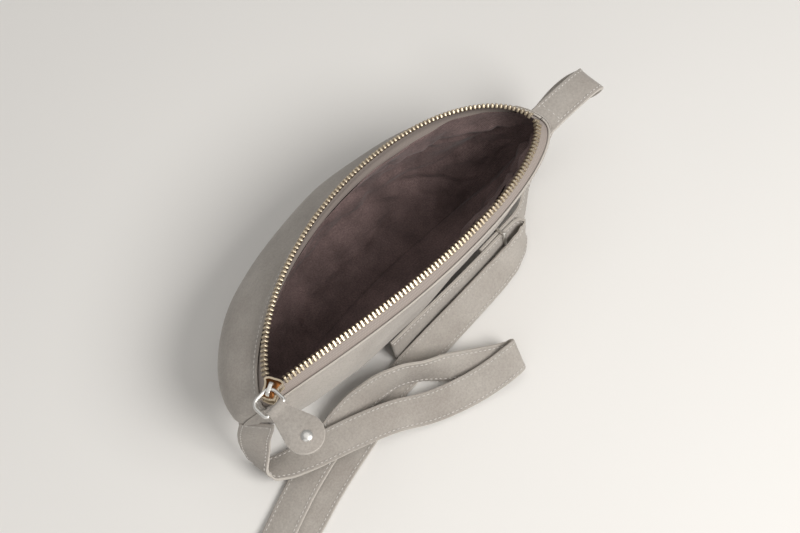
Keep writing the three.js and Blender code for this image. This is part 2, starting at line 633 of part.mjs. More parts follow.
export default pack;
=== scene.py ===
"""Fanny pack: nubuck leather waist bag standing open, with a metal zip, ring pull and belt.

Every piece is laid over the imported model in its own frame, in metres. Plan outlines and strap
routes are in millimetres from under the middle of the mouth, as the model's source has them.
"""
import math

import bmesh
import bpy
import numpy as np
from mathutils import Matrix, Vector, noise


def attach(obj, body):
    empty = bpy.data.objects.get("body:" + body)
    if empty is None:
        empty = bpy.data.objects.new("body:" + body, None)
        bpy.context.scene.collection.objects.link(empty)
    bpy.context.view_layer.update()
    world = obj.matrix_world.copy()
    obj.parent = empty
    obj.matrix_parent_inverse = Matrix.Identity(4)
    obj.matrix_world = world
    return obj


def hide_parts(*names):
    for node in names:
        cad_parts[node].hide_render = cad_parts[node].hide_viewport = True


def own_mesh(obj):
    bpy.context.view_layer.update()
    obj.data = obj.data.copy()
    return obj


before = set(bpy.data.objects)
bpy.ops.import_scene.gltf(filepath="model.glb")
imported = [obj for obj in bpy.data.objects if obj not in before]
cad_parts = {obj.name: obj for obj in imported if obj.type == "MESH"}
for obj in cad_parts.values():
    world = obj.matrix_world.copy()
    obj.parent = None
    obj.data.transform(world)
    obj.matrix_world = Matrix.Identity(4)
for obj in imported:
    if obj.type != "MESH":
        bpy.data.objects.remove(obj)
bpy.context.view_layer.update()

bl_info = {
    "name": "Fanny pack",
    "version": (1, 0, 0),
    "blender": (4, 5, 0),
    "location": "View3D > Sidebar > Fanny pack",
    "description": "Dresses the packed model of an open leather waist bag with its zip and belt",
    "category": "Object",
}

MM = 0.001
ORIGIN = np.array([-21.205, 3.565, 0.0])  # the frame's origin, from under the mouth's middle, mm
BAG = "bag"  # body of everything sewn together
FRONT, BACK = 1, -1
SIDES = {"front": FRONT, "back": BACK}


# Sizes and colours


def linear(hex_colour):
    """An sRGB hex colour as linear RGBA."""
    parts = [int(hex_colour[i : i + 2], 16) / 255 for i in (1, 3, 5)]
    return tuple(c / 12.92 if c <= 0.04045 else ((c + 0.055) / 1.055) ** 2.4 for c in parts) + (1.0,)


def size(name, description, default_mm):
    """A length for the sidebar, given in millimetres."""
    return bpy.props.FloatProperty(
        name=name, description=description, default=default_mm * MM, unit="LENGTH", precision=5)


def colour(name, description, default):
    """A colour for the sidebar, given as sRGB hex."""
    return bpy.props.FloatVectorProperty(
        name=name, description=description, subtype="COLOR", size=4, min=0, max=1, default=linear(default))


class PackSizes(bpy.types.PropertyGroup):
    leather: size("Leather", "Thickness of the panels", 1.8)
    lining: size("Lining", "Thickness of the lining cloth", 0.7)
    tape: size("Zip tape", "Thickness of the woven zip tape", 0.7)
    strap_width: size("Strap width", "Width of the belt", 22.0)
    strap_thickness: size("Strap thickness", "Two plies sewn together", 2.4)
    stitch_pitch: size("Stitch pitch", "From one stitch to the next", 3.3)
    stitch_length: size("Stitch length", "Length of thread that shows", 2.5)
    thread: size("Thread", "Thickness of the sewing thread", 0.75)
    stitch_inset: size("Stitch inset", "Stitch row from the leather's edge", 2.3)
    tooth_pitch: size("Tooth pitch", "From one tooth to the next", 3.02)
    tooth_height: size("Tooth height", "Whole tooth", 4.6)
    tooth_grip: size("Tooth grip", "Part of the tooth that grips the tape's corded edge", 2.0)
    tooth_width: size("Tooth width", "Across the tape", 3.2)
    wire: size("Ring wire", "Thickness of the pull ring's wire", 2.2)


class PackColours(bpy.types.PropertyGroup):
    nubuck: colour("Nubuck", "Main colour of the leather", "#AEA8A1")
    nubuck_dark: colour("Nubuck, rubbed", "Darker clouds where the nap lies the other way", "#9D968F")
    # the edge colour is the raw edge's own and also a painted highlight along rounded edges
    edge_and_highlight: colour("Cut edge", "Raw edge of the leather", "#C0BAB2")
    lining: colour("Lining", "Twill lining", "#746260")
    tape: colour("Tape", "Zip tape", "#A1968F")
    thread: colour("Thread", "Sewing thread", "#CFCBC6")
    zip_metal: colour("Zip metal", "Teeth and slider", "#CABCA5")
    ring_metal: colour("Ring metal", "Pull ring", "#EEECE8")
    # the inlay's dark colour is the lacquer's own and also painted shade in the slider's hollow
    inlay: colour("Inlay", "Lacquered hollow of the slider", "#8A5A34")
    floor: colour("Floor", "Floor of the stage", "#E4E2DF")


# Bag outline: plan curve at six heights, as in the model's source (mm)

LEVELS = {
    "teeth": dict(x=(-128, 126.5), y=(-1, 3), front=63, back=-23.5, peak=(0.55, 0.7),
                  front_p=(0.7, 0.5), back_p=(1.4, 0.55), z=108, z_ends=(108.5, 107.5)),
    "edge": dict(x=(-138, 134), y=(-4.5, 1.5), front=67, back=-28, peak=(0.55, 0.68),
                 front_p=(0.68, 0.5), back_p=(1.2, 0.42), z=102.5, z_ends=(101.5, 100.5)),
    "belly": dict(x=(-147.5, 144), y=(-1, 1), front=94, back=-19, peak=(0.5, 0.62),
                  front_p=(0.45, 0.58), back_p=(0.7, 0.6), z=64, z_ends=(82, 84)),
    "low": dict(x=(-136, 131), y=(14, 13), front=72, back=-18, peak=(0.5, 0.55),
                front_p=(0.5, 0.55), back_p=(0.7, 0.65), z=13, z_ends=(44, 46)),
    "foot": dict(x=(-113, 109), y=(25, 24), front=45, back=-17, peak=(0.5, 0.5),
                 front_p=(0.55, 0.55), back_p=(0.6, 0.6), z=0, z_ends=(16, 17)),
    "seam": dict(x=(-92, 86), y=(30, 30), front=7, back=7, peak=(0.5, 0.5),
                 front_p=(1, 1), back_p=(1, 1), z=0, z_ends=(4, 4)),
}
WALL = ("edge", "belly", "low", "foot", "seam")
LEVEL_SHARE = 0.3  # middle stretch of each level that keeps one height
RISE_POWER = 2.2  # how late the ends leave that height
PROFILE_STEPS = 121
BLEND = 14.0  # mm from an end or the base seam over which the two sides come to share a direction
NEAR_END = 0.1  # turn beside an end where that shared direction is read
NEAR_SEAM = 0.97  # share of the way down where it is read at the base


def unit(v):
    """Vectors made one long."""
    return v / np.maximum(np.linalg.norm(v, axis=-1, keepdims=True), 1e-9)


def run_along(line):
    """Distance from a line's start to each of its points."""
    return np.concatenate([[0], np.cumsum(np.linalg.norm(np.diff(line, axis=0), axis=1))])


def ease(x):
    """0 to 1 with a soft start and end."""
    x = np.clip(x, 0, 1)
    return x * x * (3 - 2 * x)


def rises(x, low, high):
    """0 below low, 1 above high, smooth between."""
    return ease((x - low) / (high - low))


def falls(x, low, high):
    """1 below low, 0 above high, smooth between."""
    return 1 - rises(x, low, high)


def hump(x, middle, width):
    """1 at the middle, falling away to both sides over the width."""
    return np.exp(-(((x - middle) / width) ** 2))


def ripple(points, wavelength, seed):
    """Soft noise between -1 and 1 at each point; each seed reads another part of the noise."""
    shift = Vector([seed * stride for stride in (17.3, 5.1, 29.7)])
    return np.array([noise.noise(Vector(p) / wavelength + shift) for p in points])


def outline(level, side, turn):
    """Point of a level's plan curve; turn runs from 0 at the slider's end to 1 at the far end."""
    k = LEVELS[level]
    u = (1 - math.cos(math.pi * turn)) / 2
    peak = k["peak"][0 if side > 0 else 1]
    powers = k["front_p"] if side > 0 else k["back_p"]
    off = (peak - u) / peak if u < peak else (u - peak) / (1 - peak)
    bulge = max(1 - off * off, 0) ** powers[0 if u < peak else 1]
    rise = (max(abs(2 * u - 1) - LEVEL_SHARE, 0) / (1 - LEVEL_SHARE)) ** RISE_POWER
    end = k["z_ends"][0 if u < 0.5 else 1]
    return np.array([
        k["x"][0] + (k["x"][1] - k["x"][0]) * u,
        k["y"][0] + (k["y"][1] - k["y"][0]) * u + (k["front"] if side > 0 else k["back"]) * bulge,
        k["z"] + (end - k["z"]) * rise,
    ])


def smooth_curve(points, at):
    """Centripetal curve through points, at station numbers that may be fractions."""
    p = np.asarray(points, float)
    p = np.vstack([2 * p[0] - p[1], p, 2 * p[-1] - p[-2]])
    at = np.clip(np.asarray(at, float), 0, len(points) - 1)
    i = np.minimum(at.astype(int), len(points) - 2)
    w = (at - i)[:, None]
    p0, p1, p2, p3 = p[i], p[i + 1], p[i + 2], p[i + 3]
    d0, d1, d2 = (np.maximum(np.linalg.norm(b - a, axis=1), 1e-6)[:, None] ** 0.5
                  for a, b in ((p0, p1), (p1, p2), (p2, p3)))
    t1 = ((p1 - p0) / d0 - (p2 - p0) / (d0 + d1) + (p2 - p1) / d1) * d1
    t2 = ((p2 - p1) / d1 - (p3 - p1) / (d1 + d2) + (p3 - p2) / d2) * d1
    c2 = -3 * p1 + 3 * p2 - 2 * t1 - t2
    c3 = 2 * p1 - 2 * p2 + t1 + t2
    return p1 + t1 * w + c2 * w**2 + c3 * w**3


_profiles = {}


def profile(side, turn):
    """The wall's line down from the leather's edge to the seam, and the distance along it."""
    key = (side, round(turn, 5))
    if key not in _profiles:
        stations = np.linspace(0, len(WALL) - 1, PROFILE_STEPS)
        line = smooth_curve([outline(level, side, turn) for level in WALL], stations)
        line[:, 2] = np.maximum(line[:, 2], 0)
        _profiles[key] = line, run_along(line)
    return _profiles[key]


def wall_length(side, turn):
    """From the leather's edge down to the seam."""
    return profile(side, turn)[1][-1]


def wall(side, turn, down):
    """Points on the leather's outside at distances down from its edge."""
    line, along = profile(side, turn)
    down = np.atleast_1d(down)
    points = np.stack([np.interp(down, along, line[:, i]) for i in range(3)], 1)
    above = np.minimum(down, 0)[:, None]  # carries on straight above the edge
    return points + above * unit(line[2] - line[0])


def slope(side, turn, share):
    """Outward direction of one side by itself, from points a small step away."""
    turn_step, share_step = 0.03, 0.02

    def at(t, k):
        return wall(side, t, np.clip(k, 0, 1) * wall_length(side, t))

    along = at(min(turn + turn_step, 1), share) - at(max(turn - turn_step, 0), share)
    down = at(turn, share + share_step) - at(turn, share - share_step)
    return unit(np.cross(along, down) * side)


def outward(side, turn, share):
    """Outward direction; the sides share one direction where they meet."""
    n = slope(side, turn, share)
    length = wall_length(side, turn)
    end, near = (0.0, NEAR_END) if turn < 0.5 else (1.0, 1 - NEAR_END)
    here = wall(side, turn, share * length)
    to_end = np.linalg.norm(here - wall(side, end, share * wall_length(side, end)), axis=1)
    both = unit(slope(FRONT, near, share) + slope(BACK, near, share))
    n = unit(n + (both - n) * np.maximum(1 - to_end / BLEND, 0)[:, None])
    low = np.full_like(share, NEAR_SEAM)
    both = unit(slope(FRONT, turn, low) + slope(BACK, turn, low))
    return unit(n + (both - n) * np.maximum(1 - (1 - share) * length / BLEND, 0)[:, None])


def own_place(side, turn):
    """The side and turn that a turn past an end comes to lie on."""
    if turn < 0:
        return -side, -turn
    if turn > 1:
        return -side, 2 - turn
    return side, turn


def inside(side, turn, down, depth):
    """Points at depths inside the leather's outside; a turn past an end goes on to the other side."""
    side, turn = own_place(side, turn)
    down = np.atleast_1d(np.asarray(down, float))
    share = np.clip(down / wall_length(side, turn), 0, 1)
    return wall(side, turn, down) - outward(side, turn, share) * np.reshape(depth, (-1, 1))


# Meshes

THIN_EDGE = 0.02  # least share of its thickness, squared, that a rounded edge keeps
PALE_EDGE_FROM, PALE_EDGE_SPAN = 0.2, 0.6  # a sheet thinner than this share of itself takes the pale edge colour: a cut edge's own colour, and a painted highlight along a rounded edge


def place(points):
    """Bag millimetres to frame metres."""
    return (np.asarray(points, float) - ORIGIN) * MM


def link(name, data):
    """A new object in the scene."""
    thing = bpy.data.objects.new(name, data)
    bpy.context.scene.collection.objects.link(thing)
    return thing


def make_piece(name, points, faces, material, uv=None, edge=None):
    """A smooth mesh object whose points are already in the frame, in metres."""
    mesh = bpy.data.meshes.new(name)
    mesh.from_pydata([tuple(p) for p in points], [], faces)
    bm = bmesh.new()
    bm.from_mesh(mesh)
    bmesh.ops.recalc_face_normals(bm, faces=bm.faces)
    bm.to_mesh(mesh)
    bm.free()
    mesh.shade_smooth()
    if uv is not None:
        layer = mesh.uv_layers.new(name="cloth")
        flat = np.asarray(uv, float)[[loop.vertex_index for loop in mesh.loops]]
        layer.uv.foreach_set("vector", flat.ravel())
    if edge is not None:
        mesh.attributes.new("edge", "FLOAT", "POINT").data.foreach_set("value", np.asarray(edge, float))
    mesh.materials.append(material)
    return link(name, mesh)


def settle(piece, body, replaced=(), closes=False):
    """Hands a finished piece to the frame; a piece that closes gets a mesh of its own."""
    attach(piece, body)
    if closes:
        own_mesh(piece)
    if replaced:
        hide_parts(*replaced)
    return piece


def loft(rings, closed=False):
    """Points and faces of rings joined one to the next; open ends are filled across each ring."""
    rings = np.asarray(rings)
    n, m = rings.shape[:2]
    faces = []
    for i in range(n if closed else n - 1):
        a, b = i * m, ((i + 1) % n) * m
        faces += [(a + j, a + (j + 1) % m, b + (j + 1) % m, b + j) for j in range(m)]
    if not closed:
        for base in (0, (n - 1) * m):
            faces += [(base + j, base + j + 1, base + m - 2 - j, base + m - 1 - j) for j in range(m // 2 - 1)]
    return rings.reshape(-1, 3), faces


def wall_piece(name, side, turns, downs, depths, material, bend=None, round_ends=(True, True)):
    """A sheet along the bag's wall. downs gives the rows at a turn, depths its two faces; bend adds depth."""
    near, far = depths
    full = (far - near) / 2
    rings, uv, edge = [], [], []
    run = 0.0
    last = None
    for turn in turns:
        down = downs(turn)
        half = np.full(len(down), full)
        for is_round, from_end in zip(round_ends, (down - down[0], down[-1] - down)):
            if is_round:
                short = 1 - np.clip(from_end / full, 0, 1)
                half = np.minimum(half, np.sqrt(np.clip(1 - short**2, THIN_EDGE, 1)) * full)
        middle = (near + far) / 2 + (bend(*own_place(side, turn), down) if bend else 0)
        outer = inside(side, turn, down, middle - half)
        inner = inside(side, turn, down, middle + half)
        rings.append(np.vstack([outer, inner[::-1]]))
        here = outer[len(outer) // 2]
        run += 0 if last is None else np.linalg.norm(here - last)
        last = here
        uv += [(run * MM, -d * MM) for d in np.concatenate([down, down[::-1]])]
        # pale edge colour where the sheet thins at a rounded end: on cut edges their own colour, on the
        # panels' turned top edge a painted highlight
        rim = np.clip(1 - (half / full - PALE_EDGE_FROM) / PALE_EDGE_SPAN, 0, 1)
        edge += list(np.concatenate([rim, rim[::-1]]))
    points, faces = loft(rings)
    return make_piece(name, place(points), faces, material, uv, edge)


# Materials: each is built from a real finish

VALUE, FROM_LOW, FROM_HIGH, TO_LOW, TO_HIGH = range(5)  # inputs of Map Range
FACTOR, COLOUR_A, COLOUR_B, MIXED = 0, 6, 7, 2  # inputs of Mix for colours, and its output
TINT, SCALE = 0, 3  # inputs of Vector Math that scales
FLOOR_CLOUDS = 3.0  # to the metre
NOISE = {FROM_LOW: 0.3, FROM_HIGH: 0.7}  # nearly all values of a noise texture lie between these


def add(tree, kind, inputs=None, to=None, **settings):
    """Adds a node, sets its properties, sets or links its inputs, and links its first output to a socket."""
    node = tree.nodes.new(kind)
    for key, value in settings.items():
        setattr(node, key, value)
    for key, value in (inputs or {}).items():
        if isinstance(value, bpy.types.NodeSocket):
            tree.links.new(value, node.inputs[key])
        else:
            node.inputs[key].default_value = value
    if to is not None:
        tree.links.new(node.outputs[0], to)
    return node


def new_material(name):
    """A material with its shader alone; one that was made before comes back with no tree."""
    material = bpy.data.materials.get(name)
    if material:
        return material, None, None
    material = bpy.data.materials.new(name)
    material.use_nodes = True
    tree = material.node_tree
    tree.nodes.clear()
    shader = add(tree, "ShaderNodeBsdfPrincipled")
    add(tree, "ShaderNodeOutputMaterial", {"Surface": shader.outputs["BSDF"]})
    return material, tree, shader


def per_metre(millimetres):
    """Texture scale for a feature of that size."""
    return 1000.0 / millimetres


def bands(millimetres, diagonal=False):
    """Wave texture scale for bands that far apart; the wave turns 20 radians a unit, 10 on a diagonal."""
    return per_metre(millimetres) * 2 * math.pi / (10 if diagonal else 20)


def nubuck():
    """Sanded full-grain leather: a short nap that lies in soft clouds, no gloss, paler at its edges, where
    the raw edge's colour also serves as a painted highlight.
    """
    material, tree, shader = new_material("nubuck_leather")
    if tree is None:
        return material
    c = bpy.context.scene.pack_colours
    where = add(tree, "ShaderNodeTexCoord").outputs["Object"]
    cloud = add(tree, "ShaderNodeTexNoise", {
        "Vector": where, "Scale": per_metre(38), "Detail": 5, "Roughness": 0.6})
    # nap fibres are far finer than a pixel: drawn about 1.4 mm so that they show
    nap = add(tree, "ShaderNodeTexNoise", {
        "Vector": where, "Scale": per_metre(1.4), "Detail": 3, "Roughness": 0.7})
    pores = add(tree, "ShaderNodeTexVoronoi", {"Vector": where, "Scale": per_metre(2.2)})
    spread = add(tree, "ShaderNodeMapRange", {VALUE: cloud.outputs[0], FROM_LOW: 0.32, FROM_HIGH: 0.68})
    base = add(tree, "ShaderNodeMix", {
        FACTOR: spread.outputs[0], COLOUR_A: c.nubuck_dark, COLOUR_B: c.nubuck}, data_type="RGBA")
    fleck = add(tree, "ShaderNodeMapRange", {VALUE: nap.outputs[0], **NOISE, TO_LOW: 0.87, TO_HIGH: 1.11})
    napped = add(tree, "ShaderNodeVectorMath", {
        TINT: base.outputs[MIXED], SCALE: fleck.outputs[0]}, operation="SCALE")
    # the pale edge colour: raw cut edges, with a painted highlight along rounded edges
    rim = add(tree, "ShaderNodeAttribute", attribute_name="edge")
    final = add(tree, "ShaderNodeMix", {
        FACTOR: rim.outputs["Fac"], COLOUR_A: napped.outputs[0], COLOUR_B: c.edge_and_highlight}, data_type="RGBA")
    tree.links.new(final.outputs[MIXED], shader.inputs["Base Color"])
    add(tree, "ShaderNodeMapRange", {VALUE: nap.outputs[0], TO_LOW: 0.78, TO_HIGH: 0.95},
        to=shader.inputs["Roughness"])
    height = add(tree, "ShaderNodeMath", {0: nap.outputs[0], 1: pores.outputs[0]}, operation="ADD")
    add(tree, "ShaderNodeBump", {"Height": height.outputs[0], "Strength": 0.4, "Distance": 0.4 * MM},
        to=shader.inputs["Normal"])
    shader.inputs["Specular IOR Level"].default_value = 0.25
    shader.inputs["Sheen Weight"].default_value = 0.18
    shader.inputs["Sheen Roughness"].default_value = 0.5
    return material


def twill():
    """Cotton twill lining: fine diagonal ribs, matt, with worn paler ridges."""
    material, tree, shader = new_material("twill_lining")
    if tree is None:
        return material
    c = bpy.context.scene.pack_colours
    cloth = add(tree, "ShaderNodeTexCoord").outputs["UV"]
    where = add(tree, "ShaderNodeTexCoord").outputs["Object"]
    # ribs are about 0.6 mm apart: drawn 1.3 mm apart so that they show
    ribs = add(tree, "ShaderNodeTexWave", {
        "Vector": cloth, "Scale": bands(1.3, diagonal=True), "Distortion": 1.5,
        "Detail": 2, "Detail Scale": 2},
        wave_type="BANDS", bands_direction="DIAGONAL")
    cloud = add(tree, "ShaderNodeTexNoise", {
        "Vector": where, "Scale": per_metre(24), "Detail": 5, "Roughness": 0.6})
    worn = add(tree, "ShaderNodeMapRange", {VALUE: cloud.outputs[0], **NOISE, TO_LOW: 0.66, TO_HIGH: 1.3})
    line = add(tree, "ShaderNodeMapRange", {VALUE: ribs.outputs["Fac"], TO_LOW: 0.78, TO_HIGH: 1.18})
    slub = add(tree, "ShaderNodeTexNoise", {
        "Vector": cloth, "Scale": per_metre(1.5), "Detail": 2, "Roughness": 0.7})
    grain = add(tree, "ShaderNodeMapRange", {VALUE: slub.outputs[0], **NOISE, TO_LOW: 0.72, TO_HIGH: 1.28})
    ribbed = add(tree, "ShaderNodeMath", {0: worn.outputs[0], 1: line.outputs[0]}, operation="MULTIPLY")
    woven = add(tree, "ShaderNodeMath", {0: ribbed.outputs[0], 1: grain.outputs[0]}, operation="MULTIPLY")
    add(tree, "ShaderNodeVectorMath", {TINT: c.lining[:3], SCALE: woven.outputs[0]},
        to=shader.inputs["Base Color"], operation="SCALE")
    add(tree, "ShaderNodeBump", {"Height": ribs.outputs["Fac"], "Strength": 0.3, "Distance": 0.3 * MM},
        to=shader.inputs["Normal"])
    shader.inputs["Roughness"].default_value = 0.9
    shader.inputs["Sheen Weight"].default_value = 0.15
    shader.inputs["Specular IOR Level"].default_value = 0.2
    return material


def woven_tape():
    """Woven polyester zip tape: close ribs across, a faint shine."""
    material, tree, shader = new_material("woven_zip_tape")
    if tree is None:
        return material
    c = bpy.context.scene.pack_colours
    cloth = add(tree, "ShaderNodeTexCoord").outputs["UV"]
    # ribs are about 0.5 mm apart: drawn 1.1 mm apart so that they show
    ribs = add(tree, "ShaderNodeTexWave", {"Vector": cloth, "Scale": bands(1.1), "Distortion": 0.4},
               wave_type="BANDS", bands_direction="X")
    rows = add(tree, "ShaderNodeTexWave", {"Vector": cloth, "Scale": bands(1.6), "Distortion": 0.2},
               wave_type="BANDS", bands_direction="Y")
    weave = add(tree, "ShaderNodeMath", {
        0: ribs.outputs["Fac"], 1: rows.outputs["Fac"]}, operation="MULTIPLY")
    shade = add(tree, "ShaderNodeMapRange", {VALUE: weave.outputs[0], TO_LOW: 0.82, TO_HIGH: 1.1})
    add(tree, "ShaderNodeVectorMath", {TINT: c.tape[:3], SCALE: shade.outputs[0]},
        to=shader.inputs["Base Color"], operation="SCALE")
    add(tree, "ShaderNodeBump", {"Height": weave.outputs[0], "Strength": 0.4, "Distance": 0.3 * MM},
        to=shader.inputs["Normal"])
    shader.inputs["Roughness"].default_value = 0.75
    return material


def polyester_thread():
    """Bonded polyester thread: two plies twisted, a little paler than the leather."""
    material, tree, shader = new_material("sewing_thread")
    if tree is None:
        return material
    c = bpy.context.scene.pack_colours
    where = add(tree, "ShaderNodeTexCoord").outputs["Object"]
    plies = add(tree, "ShaderNodeTexNoise", {"Vector": where, "Scale": per_metre(0.9), "Detail": 2})
    shade = add(tree, "ShaderNodeMapRange", {VALUE: plies.outputs[0], **NOISE, TO_LOW: 0.84, TO_HIGH: 1.08})
    add(tree, "ShaderNodeVectorMath", {TINT: c.thread[:3], SCALE: shade.outputs[0]},
        to=shader.inputs["Base Color"], operation="SCALE")
    shader.inputs["Roughness"].default_value = 0.6
    return material


def plated(name, metal_colour, roughness):
    """Plated zinc or steel: bright, with faint tumbling marks and faint darker clouds at random."""
    material, tree, shader = new_material(name)
    if tree is None:
        return material
    where = add(tree, "ShaderNodeTexCoord").outputs["Object"]
    marks = add(tree, "ShaderNodeTexNoise", {
        "Vector": where, "Scale": per_metre(1.2), "Detail": 4, "Roughness": 0.7})
    # darker in faint clouds at random, not in the hollows
    darker_clouds = add(tree, "ShaderNodeTexNoise", {"Vector": where, "Scale": per_metre(6), "Detail": 2})
    shade = add(tree, "ShaderNodeMapRange", {VALUE: darker_clouds.outputs[0], **NOISE, TO_LOW: 0.86, TO_HIGH: 1.0})
    add(tree, "ShaderNodeVectorMath", {TINT: metal_colour[:3], SCALE: shade.outputs[0]},
        to=shader.inputs["Base Color"], operation="SCALE")
    add(tree, "ShaderNodeMapRange", {
        VALUE: marks.outputs[0], **NOISE, TO_LOW: roughness * 0.8, TO_HIGH: roughness * 1.25},
        to=shader.inputs["Roughness"])
    shader.inputs["Metallic"].default_value = 1.0
    return material


def zip_metal():
    """Pale gold plate on stamped teeth and a cast slider: satin, so each tooth has a broad, soft light."""
    return plated("pale_gold_plate", bpy.context.scene.pack_colours.zip_metal, 0.42)


def dark_lacquer_and_shade():
    """Bronze lacquer in the slider's hollow: dark, warm and satin beside the pale plate; its darkness also
    paints shade into the hollow.
    """
    return plated("hollow_lacquer_and_shade", bpy.context.scene.pack_colours.inlay, 0.45)


def nickel():
    """Nickel plate on drawn wire and turned heads: nearly white, with the sharpest lights of all."""
    return plated("nickel_plate", bpy.context.scene.pack_colours.ring_metal, 0.34)


def painted_floor():
    """Matt wall paint: even and pale, with clouds too faint to notice."""
    material, tree, shader = new_material("painted_floor")
    if tree is None:
        return material
    c = bpy.context.scene.pack_colours
    where = add(tree, "ShaderNodeTexCoord").outputs["Object"]
    cloud = add(tree, "ShaderNodeTexNoise", {"Vector": where, "Scale": FLOOR_CLOUDS, "Detail": 2})
    shade = add(tree, "ShaderNodeMapRange", {VALUE: cloud.outputs[0], TO_LOW: 0.98, TO_HIGH: 1.02})
    add(tree, "ShaderNodeVectorMath", {TINT: c.floor[:3], SCALE: shade.outputs[0]},
        to=shader.inputs["Base Color"], operation="SCALE")
    shader.inputs["Roughness"].default_value = 0.85
    return material


# Geometry Nodes: stitches and teeth

SHARP_EDGE = math.radians(28)  # edges of a CAD node that are rounded
SAME_POINT = 2e-6  # m; corners of a CAD node this close are one


def node_group(name, inputs):
    """An empty tree with named inputs, and those inputs."""
    tree = bpy.data.node_groups.new(name, "GeometryNodeTree")
    tree.interface.new_socket("Geometry", in_out="INPUT", socket_type="NodeSocketGeometry")
    for label, kind in inputs:
        tree.interface.new_socket(label, in_out="INPUT", socket_type=kind)
    tree.interface.new_socket("Geometry", in_out="OUTPUT", socket_type="NodeSocketGeometry")
    return tree, add(tree, "NodeGroupInput").outputs


def finish_group(tree, instances, material):
    """Ends a tree: real, smooth meshes in one material."""
    whole = add(tree, "GeometryNodeRealizeInstances", {0: instances})
    smooth = add(tree, "GeometryNodeSetShadeSmooth", {0: whole.outputs[0]})
    dressed = add(tree, "GeometryNodeSetMaterial", {0: smooth.outputs[0], "Material": material})
    add(tree, "NodeGroupOutput", {0: dressed.outputs[0]})
    return tree


def stitch_group():
    """Short lengths of thread set along a line, one each pitch."""
    tree = bpy.data.node_groups.get("stitch_row")
    if tree:
        return tree
    tree, given = node_group("stitch_row", [
        ("Pitch", "NodeSocketFloat"), ("Length", "NodeSocketFloat"),
        ("Thickness", "NodeSocketFloat"), ("Material", "NodeSocketMaterial")])
    line = add(tree, "GeometryNodeMeshToCurve", {0: given["Geometry"]})
    spaced = add(tree, "GeometryNodeResampleCurve", {"Curve": line.outputs[0]}, mode="LENGTH")
    tree.links.new(given["Pitch"], spaced.inputs["Length"])
    thread = add(tree, "GeometryNodeMeshUVSphere", {"Segments": 6, "Rings": 5, "Radius": 0.5})
    shape = add(tree, "ShaderNodeCombineXYZ", {
        "X": given["Length"], "Y": given["Thickness"], "Z": given["Thickness"]})
    along = add(tree, "GeometryNodeInputTangent")
    turned = add(tree, "FunctionNodeAlignRotationToVector", {"Vector": along.outputs[0]}, axis="X")
    placed = add(tree, "GeometryNodeInstanceOnPoints", {
        "Points": spaced.outputs[0], "Instance": thread.outputs[0],
        "Rotation": turned.outputs[0], "Scale": shape.outputs[0]})
    return finish_group(tree, placed.outputs[0], given["Material"])


def teeth_group():
    """One tooth on each point, turned to the point's own up and along directions."""
    tree = bpy.data.node_groups.get("zip_teeth")
    if tree:
        return tree
    tree, given = node_group("zip_teeth", [("Tooth", "NodeSocketObject"), ("Material", "NodeSocketMaterial")])
    tooth = add(tree, "GeometryNodeObjectInfo", {"Object": given["Tooth"]})
    up = add(tree, "GeometryNodeInputNamedAttribute", {"Name": "up"}, data_type="FLOAT_VECTOR")
    along = add(tree, "GeometryNodeInputNamedAttribute", {"Name": "along"}, data_type="FLOAT_VECTOR")
    turned = add(tree, "FunctionNodeAxesToRotation", {0: up.outputs[0], 1: along.outputs[0]},
                 primary_axis="Z", secondary_axis="X")
    placed = add(tree, "GeometryNodeInstanceOnPoints", {
        "Points": given["Geometry"], "Instance": tooth.outputs["Geometry"], "Rotation": turned.outputs[0]})
    return finish_group(tree, placed.outputs[0], given["Material"])


def grow(name, mesh, tree, **values):
    """Runs a node group on a mesh and returns the result as a plain mesh object."""
    seed = link(name, mesh)
    modifier = seed.modifiers.new("grow", "NODES")
    modifier.node_group = tree
    for item in tree.interface.items_tree:
        if item.in_out == "INPUT" and item.name in values:
            modifier[item.identifier] = values[item.name]
    bpy.context.view_layer.update()
    result = bpy.data.meshes.new_from_object(seed.evaluated_get(bpy.context.evaluated_depsgraph_get()))
    seed.modifiers.remove(modifier)
    seed.data = result
    return seed


def stitches(name, lines, closes=True):
    """Rows of stitches along lines of bag millimetres."""
    s = bpy.context.scene.pack_sizes
    mesh = bpy.data.meshes.new(name)
    points, edges = [], []
    for line in lines:
        base = len(points)
        points += [tuple(p) for p in place(line)]
        edges += [(base + i, base + i + 1) for i in range(len(line) - 1)]
    mesh.from_pydata(points, edges, [])
    row = grow(name, mesh, stitch_group(), Pitch=s.stitch_pitch, Length=s.stitch_length,
               Thickness=s.thread, Material=polyester_thread())
    return settle(row, BAG, closes=closes)


def softened(node, name, material, radius_mm):
    """A copy of a CAD node with its sharp edges rounded."""
    bm = bmesh.new()
    bm.from_mesh(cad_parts[node].data)
    bm.transform(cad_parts[node].matrix_world)
    bmesh.ops.remove_doubles(bm, verts=bm.verts, dist=SAME_POINT)
    bmesh.ops.dissolve_limit(bm, angle_limit=math.radians(1), verts=bm.verts, edges=bm.edges)
    sharp = [e for e in bm.edges if len(e.link_faces) == 2 and e.calc_face_angle(0) > SHARP_EDGE]
    bmesh.ops.bevel(bm, geom=sharp, offset=radius_mm * MM, segments=2, profile=0.6, affect="EDGES",
                    offset_type="OFFSET", clamp_overlap=True)
    mesh = bpy.data.meshes.new(name)
    bm.to_mesh(mesh)
    bm.free()
    mesh.shade_smooth()
    mesh.set_sharp_from_angle(angle=math.radians(40))
    mesh.materials.append(material)
    return link(name, mesh)


# Soft shapes: how far each sheet lies in from the plain wall (mm)

NOSE_AT, NOSE_OUT = np.array([-140.3, 2.8]), np.array([-0.73, -0.68])  # flat end over the long strap
NOSE_BELLY, NOSE_LEAN = 78, 0.12  # below this height the flat end leans in, by this much
HANG = 7.0  # how far the tape and the lining's top hang in from the front wall
THREAD_OUT = 0.45  # middle of a stitch from the panel's outside


